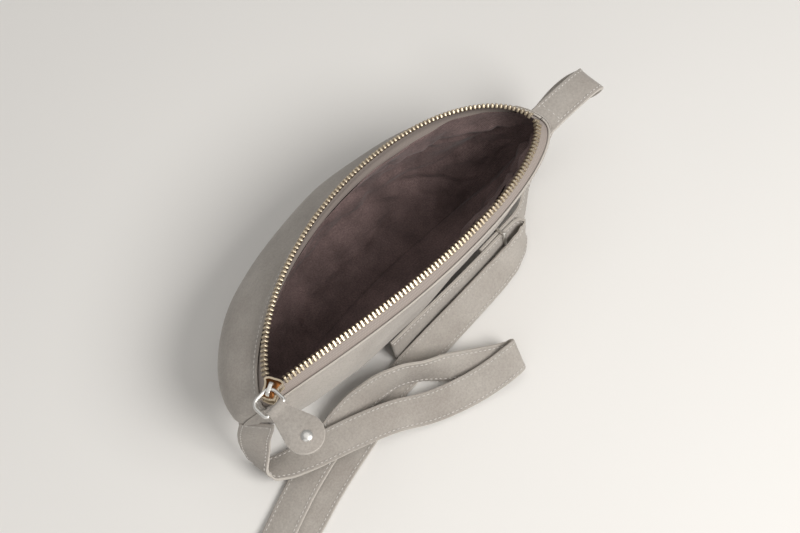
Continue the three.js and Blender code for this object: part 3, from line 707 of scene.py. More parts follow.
def nose_flat(points):
    """How far the wall stands beyond the flat end at the slider, which leans in below the belly."""
    height = points[:, 2]
    beyond = (points[:, :2] - NOSE_AT) @ NOSE_OUT + NOSE_LEAN * np.maximum(NOSE_BELLY - height, 0)
    return np.maximum(beyond, 0) * rises(height, 36, 48)


def nose_swell(side, turn, points):
    """How far the front panel bulges past the plain wall towards the slider's end."""
    height = points[:, 2]
    if side != FRONT:
        return 0 * height
    amount = 1.8 * falls(turn, 0.3, 0.5) + 0.8 * hump(turn, 0.06, 0.07)
    return amount * rises(turn, 0, 0.04) * rises(height, 22, 52) * falls(height, 83, 101)


def hang(side, turn, down):
    """How far the tape and the lining's top hang in from the front wall, straight down from the teeth."""
    if side != FRONT:
        return 0 * down
    return HANG * rises(turn, 0, 0.22) * falls(turn, 0.65, 1) * rises(down, 0, 11) * falls(down, 11, 43)


def leather_give(side, turn, down):
    """How far the leather sinks from the plain wall: slow hollows, a turned edge, nothing at the base."""
    points = wall(side, turn, down)
    hollows = 1.5 * ripple(points, 52, 1) + 0.8 * ripple(points * np.array([0.6, 0.6, 1.5]), 23, 2)
    free = rises(down, 7, 23) * rises(points[:, 2], 3, 21)
    turned_edge = -0.4 * falls(down, 4.2, 5.4)
    return hollows * free + turned_edge + nose_flat(points) - nose_swell(side, turn, points)


def lining_top(side, turn):
    """Where the lining is sewn to the tape; lower on the front, so that more of the tape shows."""
    top = 3.2 + 0.8 * math.sin(31 * turn) + 0.5 * math.sin(73 * turn)
    return top + (7 * hump(turn, 0.42, 0.26) if side == FRONT else 0)


def pinched(points, wavelength, seed):
    """1 along wandering lines and 0 between them, as where cloth is pinched."""
    return np.clip(1 - 3.4 * np.abs(ripple(points, wavelength, seed)), 0, 1) ** 2


def lining_give(side, turn, down):
    """Loose lining: folds that run along and hang away from the leather, and two creases under the mouth."""
    points = wall(side, turn, down)
    stretched = points * np.array([0.5, 1.0, 1.7])
    folds = 3.0 * (1 + ripple(stretched, 26, 3)) + 2.0 * (1 + ripple(points, 14, 4))
    folds = folds + 0.7 * (1 + ripple(points, 6, 5))
    folds = np.maximum(folds - 3.0 * pinched(stretched, 34, 6) - 1.8 * pinched(points, 21, 7), 0)
    line = 27 + 7 * math.sin(5.2 * turn + 0.4) + 3 * math.sin(13 * turn)
    creases = 3.2 * hump(down, line, 5) + 2.2 * hump(down, 2.1 * line, 7)
    sewn, seam = lining_top(side, turn) + 1, wall_length(side, turn)
    free = rises(down, sewn, sewn + 14) * falls(down, seam - 20, seam)
    free = free * rises(turn, 0, 0.12) * falls(turn, 0.88, 1)
    return (folds + creases) * free + hang(side, turn, down) + nose_flat(points)


# Panels and linings

PANEL_TURNS, PANEL_ROWS = 120, 46
TURNED_EDGE_ROWS = np.array([0, 0.08, 0.25, 0.5, 0.9, 1.6, 2.6, 3.6, 4.2, 4.8, 5.4, 6.5])
LINING_TURNS, LINING_ROWS = 160, 72
LINING_HEM_ROWS = np.array([0, 0.2, 0.5, 1.1])
POCKET_ENDS = (0.36, 0.76)  # turns
POCKET_TOP, POCKET_LOW = 34, 86  # down from the leather's edge
POCKET_HEM_ROWS = np.array([0, 0.1, 0.3, 0.6, 1.4])
POCKET_SLACK = 2.6  # how far its hem stands open
POCKET_CLOTH = 0.8  # thickness
CLOTH_GAP = 0.6  # between sheets that lie on each other


def panel_rows(side, turn):
    """Rows down a panel: close together over the turned edge, even below."""
    return np.concatenate([TURNED_EDGE_ROWS, np.linspace(9, wall_length(side, turn) - 0.3, PANEL_ROWS)])


def lining_rows(side, turn):
    """Rows down a lining: close together at its sewn top, even below."""
    top, seam = lining_top(side, turn), wall_length(side, turn)
    return np.concatenate([top + LINING_HEM_ROWS, np.linspace(top + 2.5, seam, LINING_ROWS)])


def pocket_rows(turn):
    """Rows down the pocket: close together at its hem, even below."""
    return np.concatenate([POCKET_TOP + POCKET_HEM_ROWS, np.linspace(POCKET_TOP + 3, POCKET_LOW, 24)])


def pocket_give(side, turn, down):
    """The pocket follows the lining, and its hem stands open in the middle."""
    first, last = POCKET_ENDS
    along = math.sin(math.pi * (turn - first) / (last - first))
    up = (POCKET_LOW - down) / (POCKET_LOW - POCKET_TOP)
    return lining_give(side, turn, down) + POCKET_SLACK * along * up**2


class PACK_OT_panels(bpy.types.Operator):
    """Makes the two leather panels with their turned edges and top stitching"""
    bl_idname = "pack.panels"
    bl_label = "Panels"

    def execute(self, context):
        s = context.scene.pack_sizes
        # first and last turn, then the stitch row's distance from the edge and its first and last turn
        spans = {FRONT: ((0.0, 1.0), s.stitch_inset / MM, (0.012, 0.96)),
                 BACK: ((0.025, 0.997), 1.3, (0.72, 0.965))}
        for name, side in SIDES.items():
            ends, inset, sewn = spans[side]
            piece = wall_piece(
                f"{name}_panel_leather", side, np.linspace(*ends, PANEL_TURNS), lambda t: panel_rows(side, t),
                (0, s.leather / MM), nubuck(), leather_give, (True, False))
            settle(piece, BAG, [f"{name}_panel"], closes=True)
            line = [inside(side, t, inset, -THREAD_OUT)[0] for t in np.linspace(*sewn, 260)]
            stitches(f"{name}_panel_stitches", [line])
        return {"FINISHED"}


class PACK_OT_linings(bpy.types.Operator):
    """Makes the creased linings and the slip pocket"""
    bl_idname = "pack.linings"
    bl_label = "Linings"

    def execute(self, context):
        s = context.scene.pack_sizes
        near = (s.leather + s.tape) / MM + CLOTH_GAP
        far = near + s.lining / MM
        for name, side in SIDES.items():
            piece = wall_piece(
                f"{name}_lining_cloth", side, np.linspace(0, 1, LINING_TURNS), lambda t: lining_rows(side, t),
                (near, far), twill(), lining_give, (True, False))
            settle(piece, BAG, [f"{name}_lining"], closes=True)
            face = np.array([v.co for v in piece.data.vertices]).reshape(LINING_TURNS, -1, 3)
            face = face[:, : face.shape[1] // 2]  # the outer one of its two
        pocket = wall_piece("inner_pocket_cloth", BACK, np.linspace(*POCKET_ENDS, 70), pocket_rows,
                            (far + CLOTH_GAP, far + CLOTH_GAP + POCKET_CLOTH), twill(), pocket_give)
        settle(pocket, BAG, ["inner_pocket"], closes=True)
        return {"FINISHED"}


# Zip (mm)

ROWS = {"front": (0.085, 0.995), "back": (0.125, 0.97)}  # turns of the teeth, from the slider to the far end
TAPES = {"front": (0.0, 1.0), "back": (0.03, 1.0)}
STATIONS = 220  # along a tape or a cord
TAPE_DOWN = np.array([0.0, 3.0, 8.0, 15.0])  # from the leather's edge
TAPE_BEHIND = np.array([-0.1, 0.1, 0.4, 0.45])  # from the leather's inside, at those places
TAPE_END_BEHIND = 2.6  # joined end of the tape, from the flat end's outside
TAPE_UP = 0.3  # its edge past the middle of the cord
CORD_RADIUS = 0.75
TOOTH_HALF = 0.36  # half a tooth's length along the chain, as a share of the pitch


def chain(side, start, stop):
    """Frames at distances along the teeth line, points, turn, along and up directions, and its length."""
    step = 0.01

    def line(turns):
        return np.array([outline("teeth", side, t) for t in turns])

    def at(distances):
        turn = np.interp(distances, run, turns)
        points = line(turn)
        along = unit(line(np.minimum(turn + step, 1)) - line(np.maximum(turn - step, 0)))
        up = points - np.array([wall(side, t, 0)[0] for t in turn])
        up = unit(up - along * np.sum(up * along, 1)[:, None])
        return points, turn, along, up

    turns = np.linspace(start, stop, 400)
    run = run_along(line(turns))
    return at, run[-1]


def tube(centres, ups, acrosses, radius, sides, closed=False):
    """Points and faces of a round tube, and the angle of each of its lines."""
    angles = np.linspace(0, 2 * np.pi, sides, endpoint=False)
    rings = [c + radius * (np.cos(angles)[:, None] * u + np.sin(angles)[:, None] * w)
             for c, u, w in zip(centres, ups, acrosses)]
    return *loft(rings, closed), angles


def tooth_mesh(height, grip, width, pitch):
    """One stamped tooth: legs that clamp the cord, a full body and a broad head."""
    bm = bmesh.new()
    half, top = pitch * TOOTH_HALF, height - grip
    # height, then shares of the width across the tape and of the length along the chain
    shape = [(-grip, 0.34, 0.75), (-grip + 0.4, 0.5, 0.95), (top - 1.6, 0.5, 1.0),
             (top - 0.5, 0.49, 0.95), (top - 0.15, 0.45, 0.78), (top, 0.36, 0.45)]
    corners = [(-0.55, -1), (0.55, -1), (1, -0.6), (1, 0.6), (0.55, 1), (-0.55, 1), (-1, 0.6), (-1, -0.6)]
    loops = [[bm.verts.new((x * half * along * MM, y * width * across * MM, z * MM)) for x, y in corners]
             for z, across, along in shape]
    count = len(corners)
    for low, high in zip(loops, loops[1:]):
        for i in range(count):
            bm.faces.new((low[i], low[(i + 1) % count], high[(i + 1) % count], high[i]))
    bm.faces.new(loops[0][::-1])
    bm.faces.new(loops[-1])
    mesh = bpy.data.meshes.new("tooth")
    bm.to_mesh(mesh)
    bm.free()
    return mesh


class PACK_OT_zip(bpy.types.Operator):
    """Makes the zip's tapes, cords, teeth and end stops"""
    bl_idname = "pack.zip"
    bl_label = "Zip"

    def execute(self, context):
        s = context.scene.pack_sizes
        for name, side in SIDES.items():
            self.tape(name, side, s)
            at, length = chain(side, *ROWS[name])
            self.cord(name, at, length)
            self.teeth(name, at, length, s)
            stop = softened(f"zip_stop_{name}", f"zip_stop_{name}_metal", zip_metal(), 0.3)
            settle(stop, BAG, [f"zip_stop_{name}"], closes=True)
        end = softened("zip_tape_end", "zip_tape_end_cloth", woven_tape(), 0.1)
        for v in end.data.vertices:  # kept behind the leather's flat end
            beyond = (np.array(v.co[:2]) / MM + ORIGIN[:2] - NOSE_AT) @ NOSE_OUT + TAPE_END_BEHIND
            v.co.xy -= Vector(NOSE_OUT * max(beyond, 0) * MM)
        settle(end, BAG, ["zip_tape_end"], closes=True)
        return {"FINISHED"}

    def tape(self, name, side, s):
        """A woven sheet from the teeth down behind the leather."""
        at, length = chain(side, *TAPES[name])
        rings, uv = [], []
        stations = np.linspace(0, length, STATIONS)
        for d, p, turn, a, u in zip(stations, *at(stations)):
            across = np.cross(a, u)
            face = across if np.dot(across, outward(side, turn, np.zeros(1))[0]) > 0 else -across
            depth = s.leather / MM + TAPE_BEHIND + nose_flat(wall(side, turn, TAPE_DOWN))
            depth = depth + hang(side, turn, TAPE_DOWN)
            line = [p + u * TAPE_UP, *inside(side, turn, TAPE_DOWN, depth)]
            curve = smooth_curve(line, np.linspace(0, len(TAPE_DOWN), 15))
            normal = unit(np.cross(np.gradient(curve, axis=0), a))
            normal *= np.sign(normal @ face)[:, None]
            rings.append(np.vstack([curve, (curve - normal * (s.tape / MM))[::-1]]))
            v = run_along(curve)
            uv += [(d * MM, -x * MM) for x in np.concatenate([v, v[::-1]])]
        points, faces = loft(rings)
        piece = make_piece(f"zip_tape_{name}_cloth", place(points), faces, woven_tape(), uv)
        settle(piece, BAG, [f"zip_tape_{name}"], closes=True)

    def cord(self, name, at, length):
        """The thick edge of the tape, under the teeth."""
        stations = np.linspace(0, length, STATIONS)
        points, _, along, up = at(stations)
        points, faces, angles = tube(points, up, np.cross(along, up), CORD_RADIUS, 10)
        uv = [(d * MM, a * MM) for d in stations for a in angles]
        piece = make_piece(f"zip_cord_{name}", place(points), faces, woven_tape(), uv)
        settle(piece, BAG, closes=True)

    def teeth(self, name, at, length, s):
        """A row of teeth, each square to the tape where it stands."""
        count = round(length * MM / s.tooth_pitch)
        pitch = length / count
        points, _, along, up = at((np.arange(count) + 0.5) * pitch)
        mesh = bpy.data.meshes.new("teeth_places")
        mesh.from_pydata([tuple(p) for p in place(points)], [], [])
        for label, values in (("along", along), ("up", up)):
            mesh.attributes.new(label, "FLOAT_VECTOR", "POINT").data.foreach_set("vector", values.ravel())
        sizes = (s.tooth_height / MM, s.tooth_grip / MM, s.tooth_width / MM)
        tooth = link("tooth", tooth_mesh(*sizes, pitch))
        row = grow(f"zip_teeth_{name}_metal", mesh, teeth_group(), Tooth=tooth, Material=zip_metal())
        bpy.data.objects.remove(tooth)
        row.data.set_sharp_from_angle(angle=math.radians(50))
        settle(row, BAG, [f"zip_teeth_{name}"], closes=True)


# Slider and pull, from the sizes in the model's source (mm)

SLIDER_AT = np.array([-127.5, -0.8, 108.5])
SLIDER_TURN = math.radians(24)
RECESS_RIM, RECESS_DEPTH = 1.1, 0.5  # hollow in the slider's top plate
LACQUER_GAP, LACQUER = 0.05, 0.1  # its lining, off the hollow's floor, and that lining's thickness
BAIL_BACK = 1.2
RING_Z = 114.15
RING = dict(width=15.5, height=12.5, top=5.0, bar=1.6)  # top and bar: radius of its corners there
BAIL_AT = SLIDER_AT[:2] - BAIL_BACK * np.array([math.cos(SLIDER_TURN), math.sin(SLIDER_TURN)])
RING_RIGHT, RING_TOP = BAIL_AT + RING["top"] * (1 - math.sqrt(0.5))  # its round corner hangs in the bail
BAR = np.array([RING_RIGHT - RING["width"] / 2, RING_TOP - RING["height"], RING_Z])
TAB_LENGTH, TAB_ROUND = 35.0, 12.0  # bar to tip, and radius of the tip
TAB_NECK = 3.0  # from the bar to where its straight sides begin
TAB_FOLD = 1.9  # radius of the strip's fold round the bar
TAB_LAYER = 0.76  # middle of each layer from the middle of the tab
TAB_SAG = 0.5  # drop of the tip
TAB_GAP = 0.2  # between its side and the ring's corner
RIVET_AT, RIVET_DROP = 25.0, 0.2  # from the bar, and below it with the tab's sag
RIVET_SHAPE = [  # radius and height, from the domed head down to the flat back
    (0.01, 2.75), (1.2, 2.68), (2.3, 2.4), (3.1, 1.95), (3.6, 1.62), (3.75, 1.4), (3.75, 1.1), (3.4, 0.95),
    (1.4, 0.95), (1.4, -1.9), (3.1, -1.9), (3.1, -2.35), (2.6, -2.55), (0.01, -2.6)]


class PACK_OT_pull(bpy.types.Operator):
    """Makes the slider, its bail, the ring, the leather tab and its rivet"""
    bl_idname = "pack.pull"
    bl_label = "Slider and pull"

    def execute(self, context):
        body = softened("slider_body", "slider_body_metal", zip_metal(), 0.35)
        inlay = self.recess(body.data)
        settle(body, "zip_slider", ["slider_body"])
        settle(inlay, "zip_slider")
        bail = softened("slider_bail", "slider_bail_metal", nickel(), 0.3)
        settle(bail, "zip_slider", ["slider_bail"])
        self.ring(context.scene.pack_sizes.wire / MM / 2)
        self.tab()
        self.rivet()
        return {"FINISHED"}

    def recess(self, mesh):
        """Sinks the middle of the slider's top plate inside a rim, and returns the dark lacquer that lines
        it, which also paints shade into the hollow.
        """
        bm = bmesh.new()
        bm.from_mesh(mesh)
        top = max(v.co.z for v in bm.verts)
        plate = [f for f in bm.faces if f.normal.z > 0.98 and f.calc_center_median().z > top - 0.1 * MM]
        bmesh.ops.inset_region(bm, faces=plate, thickness=RECESS_RIM * MM, depth=-RECESS_DEPTH * MM,
                               use_boundary=True, use_even_offset=True)
        bm.to_mesh(mesh)
        floor = [f for f in plate if f.is_valid]
        bmesh.ops.delete(bm, geom=[f for f in bm.faces if f not in floor], context="FACES")
        bmesh.ops.translate(bm, verts=bm.verts, vec=(0, 0, LACQUER_GAP * MM))
        lid = bmesh.ops.extrude_face_region(bm, geom=bm.faces[:])["geom"]
        lid = [v for v in lid if isinstance(v, bmesh.types.BMVert)]
        bmesh.ops.translate(bm, verts=lid, vec=(0, 0, LACQUER * MM))
        bmesh.ops.recalc_face_normals(bm, faces=bm.faces)
        bm.verts.index_update()
        bm.faces.sort(key=self.face_order)  # extruding leaves them in no fixed order
        lacquer = bpy.data.meshes.new("slider_inlay")
        bm.to_mesh(lacquer)
        bm.free()
        # dark lacquer, which also serves as painted shade in the hollow
        lacquer.materials.append(dark_lacquer_and_shade())
        return link("slider_inlay", lacquer)

    def face_order(self, face):
        """A number for each face, from its two lowest corners."""
        first, second = sorted(v.index for v in face.verts)[:2]
        return first * 1000 + second

    def ring(self, radius):
        """Bent wire: two round corners at the bail's end, two tight ones at the tab's bar."""
        wide, tight = RING["top"], RING["bar"]
        left, low = RING_RIGHT - RING["width"], BAR[1]
        # each corner's centre, radius and first angle
        corners = [(RING_RIGHT - wide, RING_TOP - wide, wide, 90),
                   (RING_RIGHT - tight, low + tight, tight, 0),
                   (left + tight, low + tight, tight, -90),
                   (left + wide, RING_TOP - wide, wide, 180)]
        centre = np.array([(x + r * math.cos(math.radians(a)), y + r * math.sin(math.radians(a)), RING_Z)
                           for x, y, r, first in corners for a in np.linspace(first, first - 90, 13)])
        along = unit(np.roll(centre, -1, 0) - np.roll(centre, 1, 0))
        out = np.stack([along[:, 1], -along[:, 0], 0 * along[:, 0]], 1)
        up = np.tile([0, 0, 1.0], (len(centre), 1))
        points, faces, _ = tube(centre, out, up, radius, 20, closed=True)
        piece = make_piece("pull_ring_wire", place(points), faces, nickel())
        settle(piece, "ring", ["pull_ring"])

    def tab(self):
        """One strip folded round the bar, its two layers riveted together."""
        narrow = RING["width"] / 2 - RING["bar"] - TAB_GAP
        centre = -TAB_LENGTH + TAB_ROUND  # of the round end, from the bar
        neck = -centre - TAB_NECK
        touch = math.atan2(neck, -narrow) + math.acos(TAB_ROUND / math.hypot(neck, narrow))
        widest, shoulder = -TAB_ROUND * math.cos(touch), TAB_ROUND * math.sin(touch) + centre

        def half_width(y):
            if y < shoulder:
                return math.sqrt(max(TAB_ROUND**2 - (y - centre) ** 2, 0.01))
            return narrow + (widest - narrow) * np.clip((TAB_NECK + y) / (TAB_NECK + shoulder), 0, 1)

        tip = TAB_ROUND * np.cos(np.linspace(0.02, math.pi / 2, 16))
        ys = np.concatenate([centre - tip, np.linspace(centre + 1, -5, 26)])
        layer = [(y, TAB_LAYER) for y in ys] + [(-3.6, 0.95), (-2.2, 1.4), (-1.0, 1.78)]
        fold = [(TAB_FOLD * math.sin(a), TAB_FOLD * math.cos(a)) for a in np.linspace(0, math.pi, 15)]
        path = np.array(layer + fold + [(y, -z) for y, z in layer[::-1]])
        rings, edge = [], []
        for (y, z), (ay, az) in zip(path, unit(np.gradient(path, axis=0))):
            w = half_width(min(y, 0))
            thick = 0.7 if y < -4 else 0.58  # half of it; thinned at the fold
            b = min(0.4, w * 0.4)  # rounding of the edges
            section = [(-w, -thick + b * 0.8), (-w + b, -thick), (w - b, -thick), (w, -thick + b * 0.8),
                       (w, thick - b * 0.8), (w - b, thick), (-w + b, thick), (-w, thick - b * 0.8)]
            sag = -TAB_SAG * rises(-y, 8, 35)
            rings.append([BAR + np.array([x, y + n * az, z - n * ay + sag]) for x, n in section])
            # the tab's cut sides take the pale edge colour, which also paints a highlight there
            edge += [0.9, 0, 0, 0.9] * 2
        points, faces = loft(rings)
        piece = make_piece("pull_tab_leather", place(points), faces, nubuck(), edge=edge)
        settle(piece, "tab", ["pull_tab"])

    def rivet(self):
        """A turned rivet with a domed head, through both layers of the tab."""
        angles = np.linspace(0, 2 * np.pi, 36, endpoint=False)
        centre = BAR + np.array([0, -RIVET_AT, -RIVET_DROP])
        rings = [[centre + np.array([r * math.cos(a), r * math.sin(a), z]) for a in angles]
                 for r, z in RIVET_SHAPE]
        points, faces = loft(rings)
        piece = make_piece("tab_rivet_metal", place(points), faces, nickel())
        piece.data.set_sharp_from_angle(angle=math.radians(45))
        settle(piece, "tab", ["tab_rivet"])


# End patches (mm)

PATCHES = {"left": ((-0.055, 0.018), 36.0), "right": ((0.915, 1.085), 6.0)}  # turns, and height down the wall
PATCH_TOP = 0.6  # down from the leather's edge
PATCH_FACES = (-0.75, -0.1)  # outside the panels' leather
PATCH_ROWS = np.array([0, 0.01, 0.04, 0.08, 0.14, 0.3, 0.5, 0.7, 0.86, 0.92, 0.96, 0.99, 1])


class PACK_OT_end_patches(bpy.types.Operator):
    """Makes the leather patches over the two ends of the zip"""
    bl_idname = "pack.end_patches"
    bl_label = "End patches"

    def execute(self, context):
        for name, (ends, low) in PATCHES.items():
            rows = PATCH_TOP + (low - PATCH_TOP) * PATCH_ROWS
            piece = wall_piece(f"{name}_end_patch_leather", FRONT, np.linspace(*ends, 61), lambda t: rows,
                               PATCH_FACES, nubuck(), leather_give)
            settle(piece, BAG, [f"{name}_end_patch"], closes=True)
        return {"FINISHED"}


# Belt: middle line and edge-to-edge direction of each strap, as in the model's source (mm)

LONG_ROUTE = [
    ((-142.4, 3.7, 71), (-10.5, 17, -8)), ((-142, 5.7, 61), (-11, 17, -8.5)),
    ((-143.4, 7.2, 52), (-11.5, 16, -9.5)), ((-145.6, 7.6, 44), (-12, 15.5, -12)),
    ((-147.6, 6.8, 36.5), (-11.5, 14, -16)), ((-150, 5.5, 27.5), (-9, 12, -20)),
    ((-152, 2.8, 19.5), (-5, 9, -21)), ((-153, -1.6, 14), (1, 8, -20)),
    ((-152.6, -3, 11.8), (5, 11, -18)), ((-146.8, -7, 9.8), (11, 16, -10)),
    ((-135, -13.6, 9.4), (9, 19, -5)), ((-113.5, -22.6, 11.6), (5, 20, 3)),
    ((-86, -34.5, 13.2), (10, 18, 6)), ((-66.5, -43.5, 10.8), (11, 17, 7)),
    ((-45.3, -56.5, 7.8), (10, 18, 7)), ((-18.3, -68.2, 7.4), (7, 19, 7.5)),
    ((3, -75, 10.8), (7, 18, 9.5)), ((18, -78.2, 14.6), (6.5, 17, 11.7)),
    ((21, -78.2, 13.9), (6.5, 17, 11.7)), ((22.8, -77.1, 11.7), (6.5, 17, 11.7)),
    ((22.4, -75.6, 9.3), (6.5, 17, 11.7)), ((19.9, -74.5, 8.2), (6.5, 17, 12)),
    ((6, -65, 9.4), (8, 13, 15)), ((-13.7, -49.5, 11.4), (9, 9, 17)), ((-31.8, -36, 13.8), (3, 4, 21)),
    ((-45.3, -27.3, 15.6), (1.5, 6, 20.5)), ((-64.5, -20.6, 14.2), (3, 10, 19)),
    ((-84, -18.8, 10.6), (1, 17, 12)), ((-104, -20, 6.9), (-2, 21, 4)),
    ((-124, -23.4, 4.7), (-4, 21, -2)), ((-146.5, -28.6, 3.9), (-5.5, 20.8, -3)),
    ((-180, -39.4, 5), (-5.5, 20.8, -3)), ((-205, -48.2, 8.6), (-6.5, 20.8, -1)),
    ((-221, -55, 10), (-7, 20.6, 0)), ((-226.5, -57, 5.8), (-7, 20.6, 0)),
    ((-221, -58.4, 2.4), (-6, 21, 0)), ((-212, -57.6, 1.7), (-5, 21.3, 0)),
    ((-200, -55.8, 1.5), (-4.4, 21.5, 0)), ((-180, -51.9, 1.4), (-4.4, 21.5, 0)),
    ((-158.5, -47.1, 1.4), (-4.4, 21.5, 0)), ((-134.8, -41.1, 1.4), (-4.4, 21.5, 0)),
    ((-109.7, -36.2, 1.4), (-4.4, 21.5, 0)), ((-91.5, -33.3, 1.4), (-4, 21.6, 0)),
    ((-70, -29, 1.4), (-3.5, 21.7, 0)), ((-52.5, -26.2, 1.7), (-2.5, 21.8, 0.4)),
    ((-38, -25.6, 2.6), (-1.5, 21.8, 2)), ((-10.5, -26.4, 5.2), (0, 20.5, 7)),
    ((28, -27.3, 7.6), (-2, 18.5, 11.5)), ((55, -27.4, 8.8), (-2, 17.5, 13)),
    ((72, -27.2, 10.2), (-1, 15, 16)), ((86, -25.6, 12), (0, 10, 19.6)),
    ((96, -22.8, 13.4), (0, 6, 21.2)), ((101, -19, 14.2), (0, 4.3, 21.6)),
    ((97.5, -15.8, 14.4), (0, 4.3, 21.6)), ((90, -15, 14.4), (0, 4.3, 21.6)),
    ((72, -15, 14.4), (0, 4.3, 21.6)), ((50, -14.6, 13.8), (0, 4.3, 21.6)),
    ((25, -13.6, 12.8), (0, 4.3, 21.6)), ((0, -12.4, 12), (0, 4.3, 21.6)),
    ((-33, -11.2, 11.8), (0, 4.3, 21.6)),
]
SHORT_ROUTE = [
    ((139.9, 1, 95.2), (1.3, 21.9, 0)), ((158, -0.3, 96), (1.3, 21.9, 0)),
    ((176, -1.6, 96), (1.3, 21.9, 0)), ((184.4, -2.2, 94.2), (1.3, 21.9, 0)),
    ((187, -1.6, 90.6), (1.3, 21.9, 0)), ((186.8, 1.4, 84), (1.4, 21.9, 0)),
    ((186, 8, 73), (1.5, 21.5, 3)), ((184, 13.6, 61), (2, 21, 5)), ((178.5, 18, 48), (2, 21, 5)),
    ((168.5, 20, 36), (2, 20.5, 6)), ((155, 16.6, 26.4), (3, 18, 11)), ((141, 9.2, 20), (5, 12, 17)),
    ((129, 1.4, 16.6), (3, 6, 21)), ((118, -5.6, 14.8), (1, 4.3, 21.6)),
    ((108, -10.4, 14.4), (0, 4.3, 21.6)), ((98, -11.9, 14.4), (0, 4.3, 21.6)),
    ((86, -12, 14.4), (0, 4.3, 21.6)), ((74, -12, 14.4), (0, 4.3, 21.6)),
    ((62, -12, 14.4), (0, 4.3, 21.6)),
]
STRAP_STEP = 2.2  # between sections
PLY_GROOVE = 0.3  # depth of the groove between the plies
GROOVE, GROOVE_DEPTH = 0.7, 0.16  # half width and depth of what a stitch row presses into a strap
THREAD_LIFT = 0.06  # middle of a stitch from the strap's face
SEWN_AT = 2  # section where a stitch row runs across a strap's start


def strap_frames(route, step):
    """Even stations along a strap: middle, edge direction, face direction, distance."""
    middle = [c for c, _ in route]
    widths = unit(np.array([w for _, w in route], float))
    t = np.linspace(0, len(route) - 1, 6000)
    run = run_along(smooth_curve(middle, t))
    even = np.linspace(0, run[-1], max(int(run[-1] / step), 2))
    at = np.interp(even, run, t)
    points = smooth_curve(middle, at)
    along = unit(np.gradient(points, axis=0))
    i = np.minimum(at.astype(int), len(route) - 2)
    w = widths[i] + (widths[i + 1] - widths[i]) * ease(at - i)[:, None]
    w = unit(w - along * np.sum(w * along, 1)[:, None])
    return points, w, np.cross(along, w), even


def meet_wall(rings, reach=6, gap=0.8, down=7):
    """Draws a strap's first rings in until its end follows the far end's curved wall."""
    sides = ((BACK, np.linspace(0.75, 1, 40)), (FRONT, np.linspace(1, 0.75, 40)))
    line = np.array([wall(side, t, down)[0] for side, turns in sides for t in turns])
    short = rings[0][:, 0] - np.interp(rings[0][:, 1], line[:, 1], line[:, 0]) + gap
    for i in range(reach):
        rings[i][:, 0] -= short * (1 - i / reach)


def strap_section(half, thick, inset):
    """Section of sewn double leather: grooves between the plies and at each stitch row, round corners."""
    quarter = [(-half + PLY_GROOVE, 0), (-half, -0.3 * thick), (-half + 0.05, -0.7 * thick),
               (-half + 0.45, -thick), (-half + inset - GROOVE, -thick),
               (-half + inset, -thick + GROOVE_DEPTH), (-half + inset + GROOVE, -thick), (0, -thick)]
    face = quarter + [(-x, y) for x, y in quarter[-2::-1]]
    return face + [(-x, -y) for x, y in face[1:-1]]


class PACK_OT_straps(bpy.types.Operator):
    """Makes the two belt straps of sewn double leather"""
    bl_idname = "pack.straps"
    bl_label = "Belt straps"

    def execute(self, context):
        s = context.scene.pack_sizes
        half, thick, inset = s.strap_width / MM / 2, s.strap_thickness / MM / 2, s.stitch_inset / MM
        section = strap_section(half, thick, inset)
        rim = [1.0 if abs(x) > half - 0.2 or y == 0 else 0.0 for x, y in section]  # the cut edge, pale in its own colour and also as a painted highlight
        row, out = half - inset, thick + THREAD_LIFT
        for name, route in (("long_strap", LONG_ROUTE), ("short_strap", SHORT_ROUTE)):
            points, w, n, run = strap_frames(route, STRAP_STEP)
            rings = [c + np.array([x * a + y * b for x, y in section]) for c, a, b in zip(points, w, n)]
            if name == "short_strap":
                meet_wall(rings)
            uv = [(d * MM, x * MM) for d in run for x, _ in section]
            vertices, faces = loft(rings)
            piece = make_piece(name + "_leather", place(vertices), faces, nubuck(), uv, rim * len(points))
            settle(piece, BAG, [name])
            lines = [points + w * (edge * row) + n * (face * out) for edge in (-1, 1) for face in (-1, 1)]
            across = np.linspace(-row, row, 9)[:, None]
            lines += [points[SEWN_AT] + w[SEWN_AT] * across + n[SEWN_AT] * (face * out) for face in (-1, 1)]
            stitches(name + "_stitches", [line[1:-1] for line in lines], closes=False)
        return {"FINISHED"}


class PACK_OT_strap_slide(bpy.types.Operator):
    """Makes the metal slide that holds the belt's tail"""
    bl_idname = "pack.strap_slide"
    bl_label = "Strap slide"

    def execute(self, context):
        piece = softened("strap_slide", "strap_slide_metal", nickel(), 0.5)
        settle(piece, "slide_loop", ["strap_slide"])
        return {"FINISHED"}


# Stage: a pale floor, soft light from the wearer's side and above, and the camera

FLOOR_SIZE, FLOOR_Z = 8, -0.0004  # m
LIGHTS = {  # place (m), width (m) and power (W)
    "key": ((0.15, -1.05, 1.2), 0.8, 20),
    "sky": ((0.2, 0.3, 1.9), 2.2, 7.0),
    "fill": ((-1.2, -0.5, 0.9), 1.2, 2.2),
}
LIGHT_AIM = Vector((0, 0, 0.06))
LIGHT_COLOUR, WORLD_COLOUR, WORLD_STRENGTH = "#FFFDFA", "#F3F2F0", 0.35
CAMERA_AT = np.array([-242.2, -213.2, 729.0])  # mm from under the mouth's middle
CAMERA_HEADING = math.radians(47.2048)
CAMERA_PITCH = math.radians(63.5756)
CAMERA_ROLL = math.radians(-1.5262)
LENS, SENSOR = 50, 36


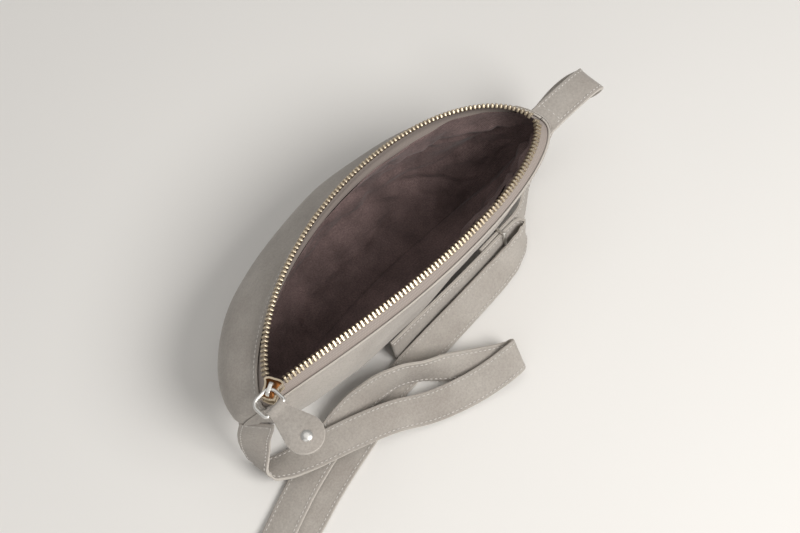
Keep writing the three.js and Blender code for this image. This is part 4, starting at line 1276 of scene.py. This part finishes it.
class PACK_OT_stage(bpy.types.Operator):
    """Makes the floor, the lights and the camera"""
    bl_idname = "pack.stage"
    bl_label = "Stage"

    def execute(self, context):
        self.floor()
        for name, (position, width, watts) in LIGHTS.items():
            self.light(name, position, width, watts)
        world = bpy.data.worlds.new("studio")
        world.use_nodes = True
        background = world.node_tree.nodes["Background"]
        background.inputs["Color"].default_value = linear(WORLD_COLOUR)
        background.inputs["Strength"].default_value = WORLD_STRENGTH
        context.scene.world = world
        context.scene.view_settings.view_transform = "Standard"
        self.camera(context)
        return {"FINISHED"}

    def floor(self):
        """A flat floor, just under what stands on it."""
        bpy.ops.mesh.primitive_plane_add(size=FLOOR_SIZE, location=(0, 0, FLOOR_Z))
        plane = bpy.context.object
        plane.name = "floor"
        plane.data.materials.append(painted_floor())

    def light(self, name, position, width, watts):
        """A round soft box that faces the bag."""
        lamp = bpy.data.lights.new(name, "AREA")
        lamp.shape = "DISK"
        lamp.size = width
        lamp.energy = watts
        lamp.color = linear(LIGHT_COLOUR)[:3]
        holder = link(name, lamp)
        holder.location = position
        holder.rotation_euler = (LIGHT_AIM - Vector(position)).to_track_quat("-Z", "Y").to_euler()

    def camera(self, context):
        """Looks down on the bag from beyond the slider's end."""
        ahead = np.array([math.sin(CAMERA_HEADING), math.cos(CAMERA_HEADING), 0])
        right = np.array([math.cos(CAMERA_HEADING), -math.sin(CAMERA_HEADING), 0])
        up = ahead * math.sin(CAMERA_PITCH) + np.array([0, 0, math.cos(CAMERA_PITCH)])
        x = right * math.cos(CAMERA_ROLL) + up * math.sin(CAMERA_ROLL)
        y = up * math.cos(CAMERA_ROLL) - right * math.sin(CAMERA_ROLL)
        lens = bpy.data.cameras.new("camera")
        lens.lens = LENS
        lens.sensor_width = SENSOR
        lens.clip_start = 0.01
        holder = link("camera", lens)
        turn = Matrix((x, y, np.cross(x, y))).transposed().to_4x4()
        holder.matrix_world = Matrix.Translation(Vector(place(CAMERA_AT))) @ turn
        context.scene.camera = holder


class PACK_PT_sidebar(bpy.types.Panel):
    bl_label = "Fanny pack"
    bl_space_type = "VIEW_3D"
    bl_region_type = "UI"
    bl_category = "Fanny pack"

    def draw(self, context):
        for step in STEPS:
            self.layout.operator(step.bl_idname)
        for group in (context.scene.pack_sizes, context.scene.pack_colours):
            box = self.layout.box()
            for name in group.__annotations__:
                box.prop(group, name)


STEPS = (PACK_OT_stage, PACK_OT_straps, PACK_OT_panels, PACK_OT_linings, PACK_OT_zip, PACK_OT_pull,
         PACK_OT_end_patches, PACK_OT_strap_slide)
CLASSES = (PackSizes, PackColours, *STEPS, PACK_PT_sidebar)


def register():
    for cls in CLASSES:
        bpy.utils.register_class(cls)
    bpy.types.Scene.pack_sizes = bpy.props.PointerProperty(type=PackSizes)
    bpy.types.Scene.pack_colours = bpy.props.PointerProperty(type=PackColours)


def unregister():
    del bpy.types.Scene.pack_colours
    del bpy.types.Scene.pack_sizes
    for cls in reversed(CLASSES):
        bpy.utils.unregister_class(cls)


def main():
    register()
    for step in STEPS:
        group, name = step.bl_idname.split(".")
        getattr(getattr(bpy.ops, group), name)()


if __name__ == "__main__":
    main()
